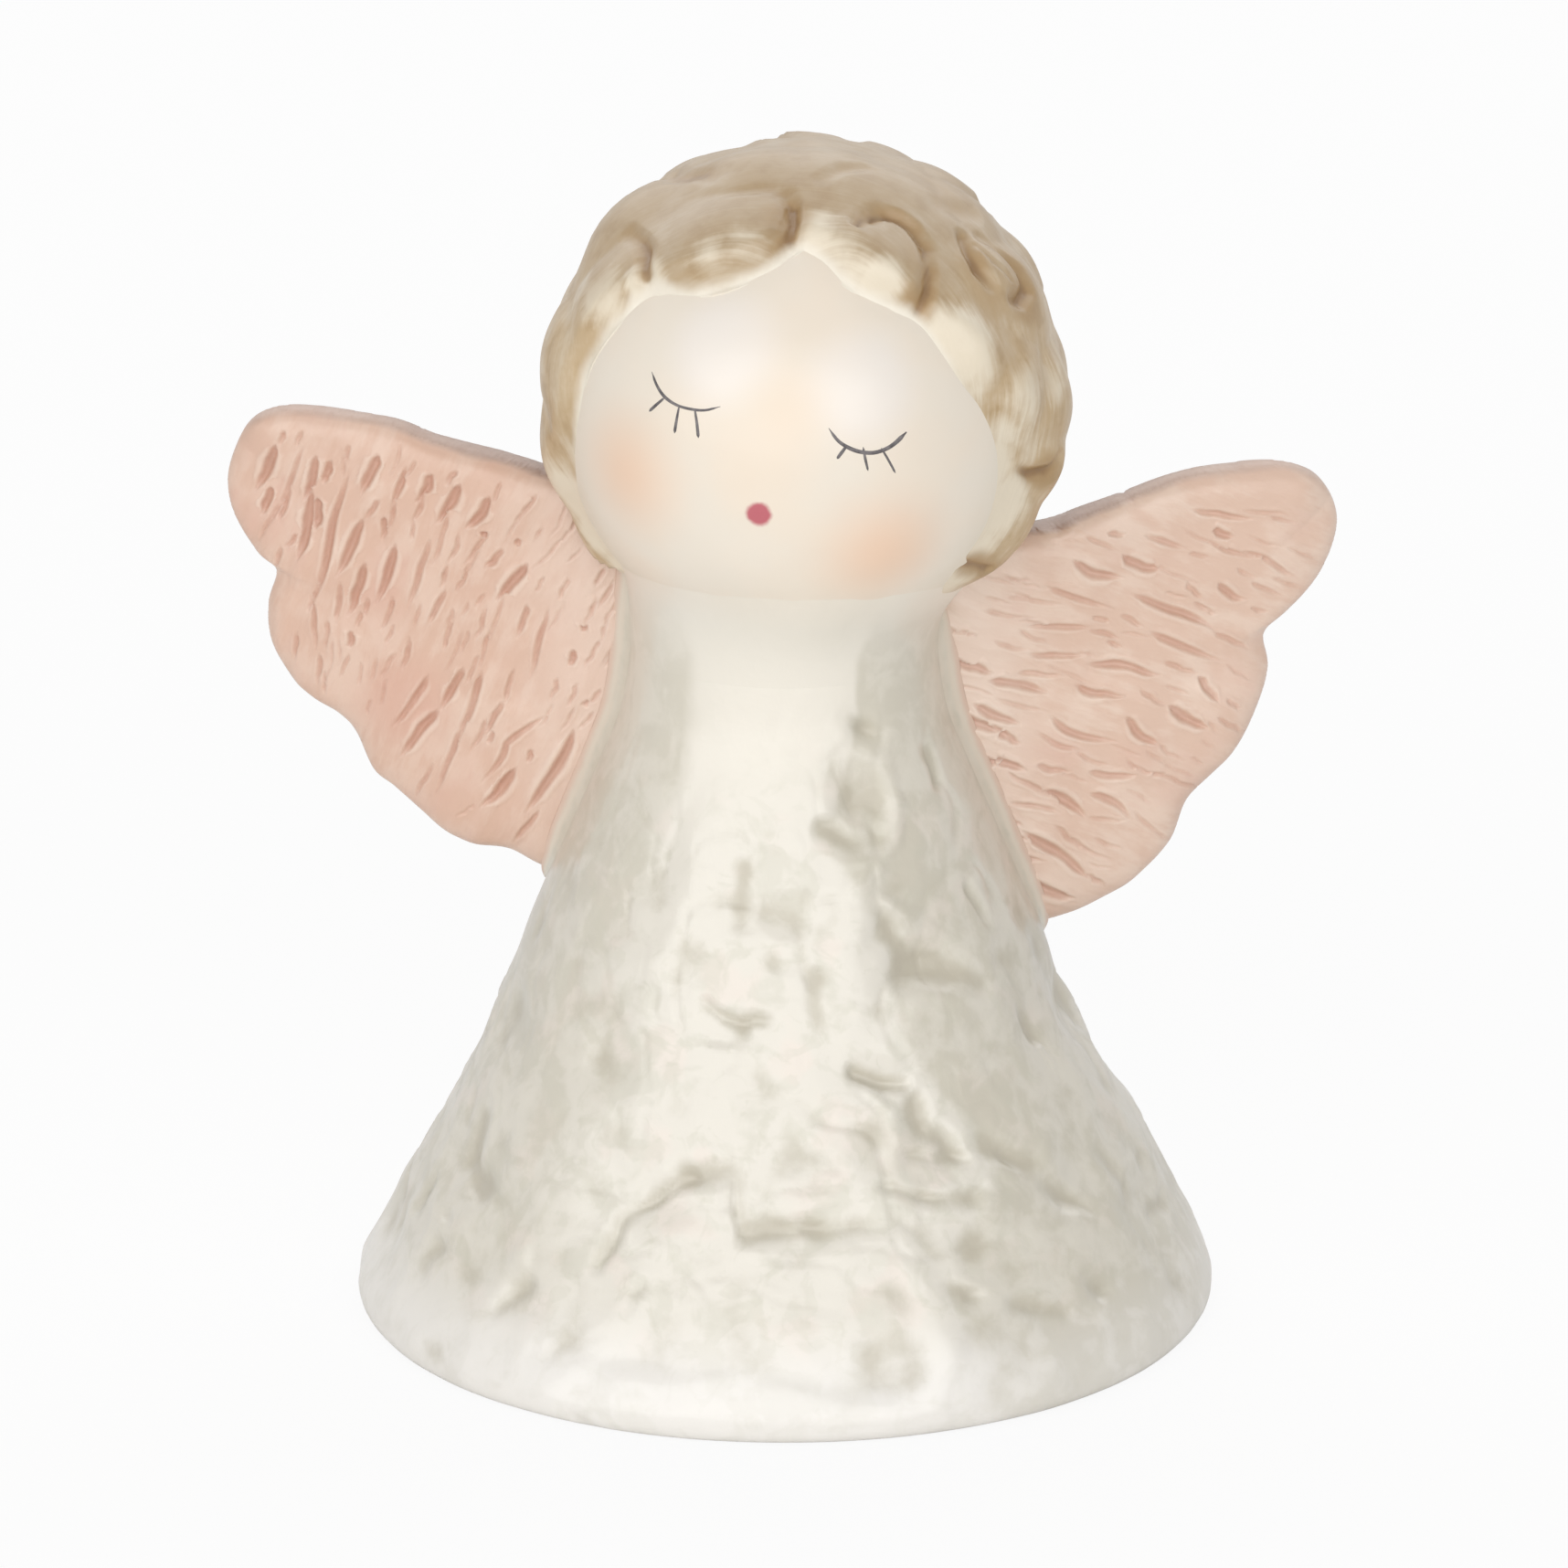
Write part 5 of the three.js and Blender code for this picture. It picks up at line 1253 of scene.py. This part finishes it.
wing_glaze = new_glaze("wing glaze over pink wash and painted shade", wing_finish)
wing_tree = gouge_tree(wing_glaze)
for name, outline, gouges, wing_lift, side in (
    ("left_wing", LEFT_WING_OUTLINE, LEFT_WING_GOUGES, LEFT_WING_LIFT, 1),
    ("right_wing", RIGHT_WING_OUTLINE, RIGHT_WING_GOUGES, RIGHT_WING_LIFT, -1),
):
    plate = wing_plate(f"{name}_plate", outline, gouges, wing_lift, side)
    strokes = gouge_lines(f"{name}_strokes", gouges, outline, wing_lift, side)
    run_tree(plate, wing_tree, {"Strokes": strokes, "Depth": GOUGE_DEPTH * MM, "Burr": GOUGE_BURR})
    bpy.data.objects.remove(strokes)
    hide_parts(name)
    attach(plate, "root")

# Slip beads
# Creamy slip is painted into each joint when the pieces are put together, and smoothed with a wet
# finger into a hollow fillet: one round the neck, and one round the root of each wing. The robe's
# wash and glaze run over them, and the neck slip also takes the robe's painted shade and painted
# highlight.
SLIP_STEPS = 20
NECK_LOW = 48.2
NECK_TOP_ANGLE, NECK_CHIN_ANGLE = math.radians(47), math.radians(12.5)
NECK_CHIN_HALF_TURN = 2.1
NECK_COLUMNS = 240
NECK_SLIP_INNER_TOP, NECK_SLIP_INNER_LOW = 9.6, 9.2
WING_SLIP_ROWS = 120
WING_SLIP_DROP, WING_SLIP_SHARE, WING_SLIP_REACH = 0.6, 0.8, 0.95


def bead_curve(*corners):
    """A smooth curve from the first corner to the last, which the corners between them pull aside."""
    share = np.linspace(0, 1, SLIP_STEPS)[:, None]
    points = [np.array(corner) + 0 * share for corner in corners]
    while len(points) > 1:
        points = [(1 - share) * a + share * b for a, b in zip(points, points[1:])]
    return points[0]


def under_head(turn, angle):
    """The point on the head's underside, so far round and at such an angle from straight down."""
    level = math.sin(angle)
    direction = np.array([level * math.sin(turn), -level * math.cos(turn), -math.cos(angle)])
    return HEAD_MIDDLE + direction * (head_radius(direction[None])[0] - 0.03)


neck_rows = []
low_radius = float(robe_radius(NECK_LOW))
for turn in np.linspace(0, 2 * np.pi, NECK_COLUMNS, endpoint=False):
    from_chin = (turn + np.pi) % (2 * np.pi) - np.pi
    angle = NECK_TOP_ANGLE + NECK_CHIN_ANGLE * swelling(from_chin / NECK_CHIN_HALF_TURN)
    top, below = under_head(turn, angle), under_head(turn, angle - 0.02)
    along = (top - below) / np.linalg.norm(top - below)
    slide = 0.75 * (np.hypot(*top[:2]) - low_radius) / np.hypot(*along[:2])
    outward = np.array([math.sin(turn), -math.cos(turn), 0])
    start = outward * (low_radius - 0.03) + (0, 0, NECK_LOW)
    bend = outward * (low_radius - 0.25) + (0, 0, NECK_LOW + 3.4)
    curve = bead_curve(start, bend, top - slide * along, top)
    inner_top = outward * NECK_SLIP_INNER_TOP + (0, 0, top[2] - 1.5)
    inner = [inner_top, outward * NECK_SLIP_INNER_LOW + (0, 0, NECK_LOW)]
    neck_rows.append(np.vstack([curve, inner]))
neck_points = np.array(neck_rows).transpose(1, 0, 2)
flat = neck_points.reshape(-1, 3)
climb = np.repeat(np.r_[np.linspace(0, 1, SLIP_STEPS), 0, 0], NECK_COLUMNS)
neck_slip = new_piece(
    "neck_slip", flat, ring_faces(len(neck_points), NECK_COLUMNS, closed=True)[:, ::-1],
    veil=veil_at(flat) * (1 - climb), chin=np.clip((climb - 0.62) / 0.38, 0, 1),
    wash=np.zeros(len(flat)), bare=np.zeros(len(flat)),
)
neck_slip.data.materials.append(new_glaze("neck slip under the robe's glaze", robe_finish))
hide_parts("neck_slip_bead")


def wing_slip_finish(start, at):
    cream, tint = (0.72, 0.64, 0.53), (0.68, 0.49, 0.385)
    grey, stone = (0.62, 0.58, 0.48), (0.7, 0.65, 0.55)
    cloud, grain = start.noise(at, 3, 3), start.noise(at, 1, 3)
    toward = start.field("toward")
    colour = start.paint(grey, stone, (cloud * 0.7 + grain * 0.4).ease(0.35, 0.7))
    colour = start.paint(colour, cream, (toward + (grain - 0.5) * 0.2).ease(0.35, 0.6))
    colour = start.paint(colour, tint, (toward + (cloud - 0.5) * 0.3).ease(0.6, 0.95) * 0.9)
    return {
        "Base Color": colour,
        "Roughness": 0.3 + grain * 0.08,
        "Coat Weight": 0.4,
        "Coat Roughness": 0.12,
        "Normal": start.bump(cloud + grain * 0.4, 0.06),
    }


wing_slip_glaze = new_glaze("wing slip glaze", wing_slip_finish)
slips = [neck_slip]
for name, wing_lift, side in (("left_wing", LEFT_WING_LIFT, 1), ("right_wing", RIGHT_WING_LIFT, -1)):
    rows = []
    for share in np.linspace(0, 1, WING_SLIP_ROWS):
        up = wing_lift - WING_SLIP_DROP + share * (WING_SLIP_SHARE * WING_HEIGHT + WING_SLIP_DROP)
        radius = float(robe_radius(up))
        fullness = 1 - 0.9 * abs(2 * share - 1) ** 8
        half, reach = (float(wing_half(radius)) - 0.1) * fullness, WING_SLIP_REACH * fullness + 0.1
        spread = half + reach + 0.5 * fullness
        on_robe = math.sqrt(radius ** 2 - spread ** 2) - 0.06
        bend, on_wing = (radius + 0.1, half + 0.35), (radius + reach, half - 0.12 * fullness)
        curve = bead_curve((on_robe, spread), bend, on_wing)
        curve = np.vstack([[(on_robe - 1, spread - 0.3)], curve])
        loop_points = np.vstack([curve * (1, -1), curve[::-1]])
        rows.append(np.column_stack([loop_points, np.full(len(loop_points), up)]))
    rows = np.array(rows)
    count = rows.shape[1]
    flat = np.vstack([rows.reshape(-1, 3), rows[0].mean(0), rows[-1].mean(0)])
    faces = ring_faces(len(rows), count)
    low_cap = cap_faces(np.arange(count), len(flat) - 2, turned=True)
    high_cap = cap_faces(np.arange((len(rows) - 1) * count, len(rows) * count), len(flat) - 1)
    if side < 0:
        faces, low_cap, high_cap = faces[:, ::-1], low_cap[:, ::-1], high_cap[:, ::-1]
    toward = np.r_[0, np.linspace(0, 1, SLIP_STEPS)]
    toward = np.r_[np.tile(np.r_[toward, toward[::-1]], WING_SLIP_ROWS), 0, 0]
    slip = new_piece(f"{name}_slip", wing_to_figure(flat, side), faces, low_cap, high_cap, toward=toward)
    slip.data.materials.append(wing_slip_glaze)
    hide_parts(f"{name}_slip_bead")
    slips.append(slip)
for slip in slips:
    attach(slip, "root")

# Stage
# A white table and a white room, with one wide soft lamp low in front of the figure and a weaker
# one behind and above it. A round hole under the figure lets the room's light into the hollow bell.
FLOOR_RADII = (28.5 * MM, 4)
FLOOR_FACETS = 64
floor_turns = np.linspace(0, 2 * np.pi, FLOOR_FACETS, endpoint=False)
floor_corners = [
    (radius * math.cos(turn), radius * math.sin(turn), 0) for radius in FLOOR_RADII for turn in floor_turns]
floor_mesh = bpy.data.meshes.new("floor")
floor_mesh.from_pydata(floor_corners, [], ring_faces(2, FLOOR_FACETS)[:, ::-1].tolist())
floor = bpy.data.objects.new("floor", floor_mesh)
bpy.context.scene.collection.objects.link(floor)

table = bpy.data.materials.new("white table")
table.use_nodes = True
table.node_tree.nodes.clear()
start = Wire(table.node_tree)
matt = start.node("ShaderNodeBsdfDiffuse", {}, {"Color": (0.9, 0.9, 0.9, 1)})
bright = start.node("ShaderNodeEmission", {}, {"Color": (1, 1, 1, 1), "Strength": 1.0})
lit = start.node("ShaderNodeMixShader", {}, {0: 0.9, 1: matt, 2: bright})
through = start.node("ShaderNodeBsdfTransparent")
seen = start.node("ShaderNodeLightPath", out="Is Camera Ray")
camera_look = start.node("ShaderNodeMixShader", {}, {0: seen, 1: matt, 2: lit})
behind = start.node("ShaderNodeNewGeometry", out="Backfacing")
surface = start.node("ShaderNodeMixShader", {}, {0: behind, 1: camera_look, 2: through})
start.node("ShaderNodeOutputMaterial", {}, {"Surface": surface})
floor_mesh.materials.append(table)

world = bpy.data.worlds.new("white room")
bpy.context.scene.world = world
world.use_nodes = True
world.node_tree.nodes.clear()
start = Wire(world.node_tree)
camera_ray, glossy_ray, transmission_ray = (
    start.node("ShaderNodeLightPath", out=f"Is {name} Ray") for name in ("Camera", "Glossy", "Transmission"))
direct = start.math("MAXIMUM", start.math("MAXIMUM", camera_ray, glossy_ray), transmission_ray)
strength = 0.34 + direct * 0.66
background = start.node("ShaderNodeBackground", {}, {"Color": (1, 1, 1, 1), "Strength": strength})
start.node("ShaderNodeOutputWorld", {}, {"Surface": background})


def soft_lamp(name, azimuth, elevation, distance, width, height, watts):
    """A soft box that looks at the middle of the figure."""
    turn, climb = math.radians(azimuth), math.radians(elevation)
    place = Vector((math.sin(turn) * math.cos(climb), -math.cos(turn) * math.cos(climb), math.sin(climb)))
    lamp = bpy.data.objects.new(name, bpy.data.lights.new(name, "AREA"))
    lamp.data.shape = "RECTANGLE"
    lamp.data.size, lamp.data.size_y = width, height
    lamp.data.energy = watts
    lamp.location = Vector((0, 0, 0.045)) + place * distance
    lamp.rotation_euler = (-place).to_track_quat("-Z", "Y").to_euler()
    lamp.visible_camera = False
    bpy.context.scene.collection.objects.link(lamp)


soft_lamp("front_box", -9, 21, 1.1, 2.9, 0.96, 14.4)
soft_lamp("back_box", 175, 48, 1.3, 2.4, 1.4, 12)

bpy.context.scene.view_settings.view_transform = "Standard"
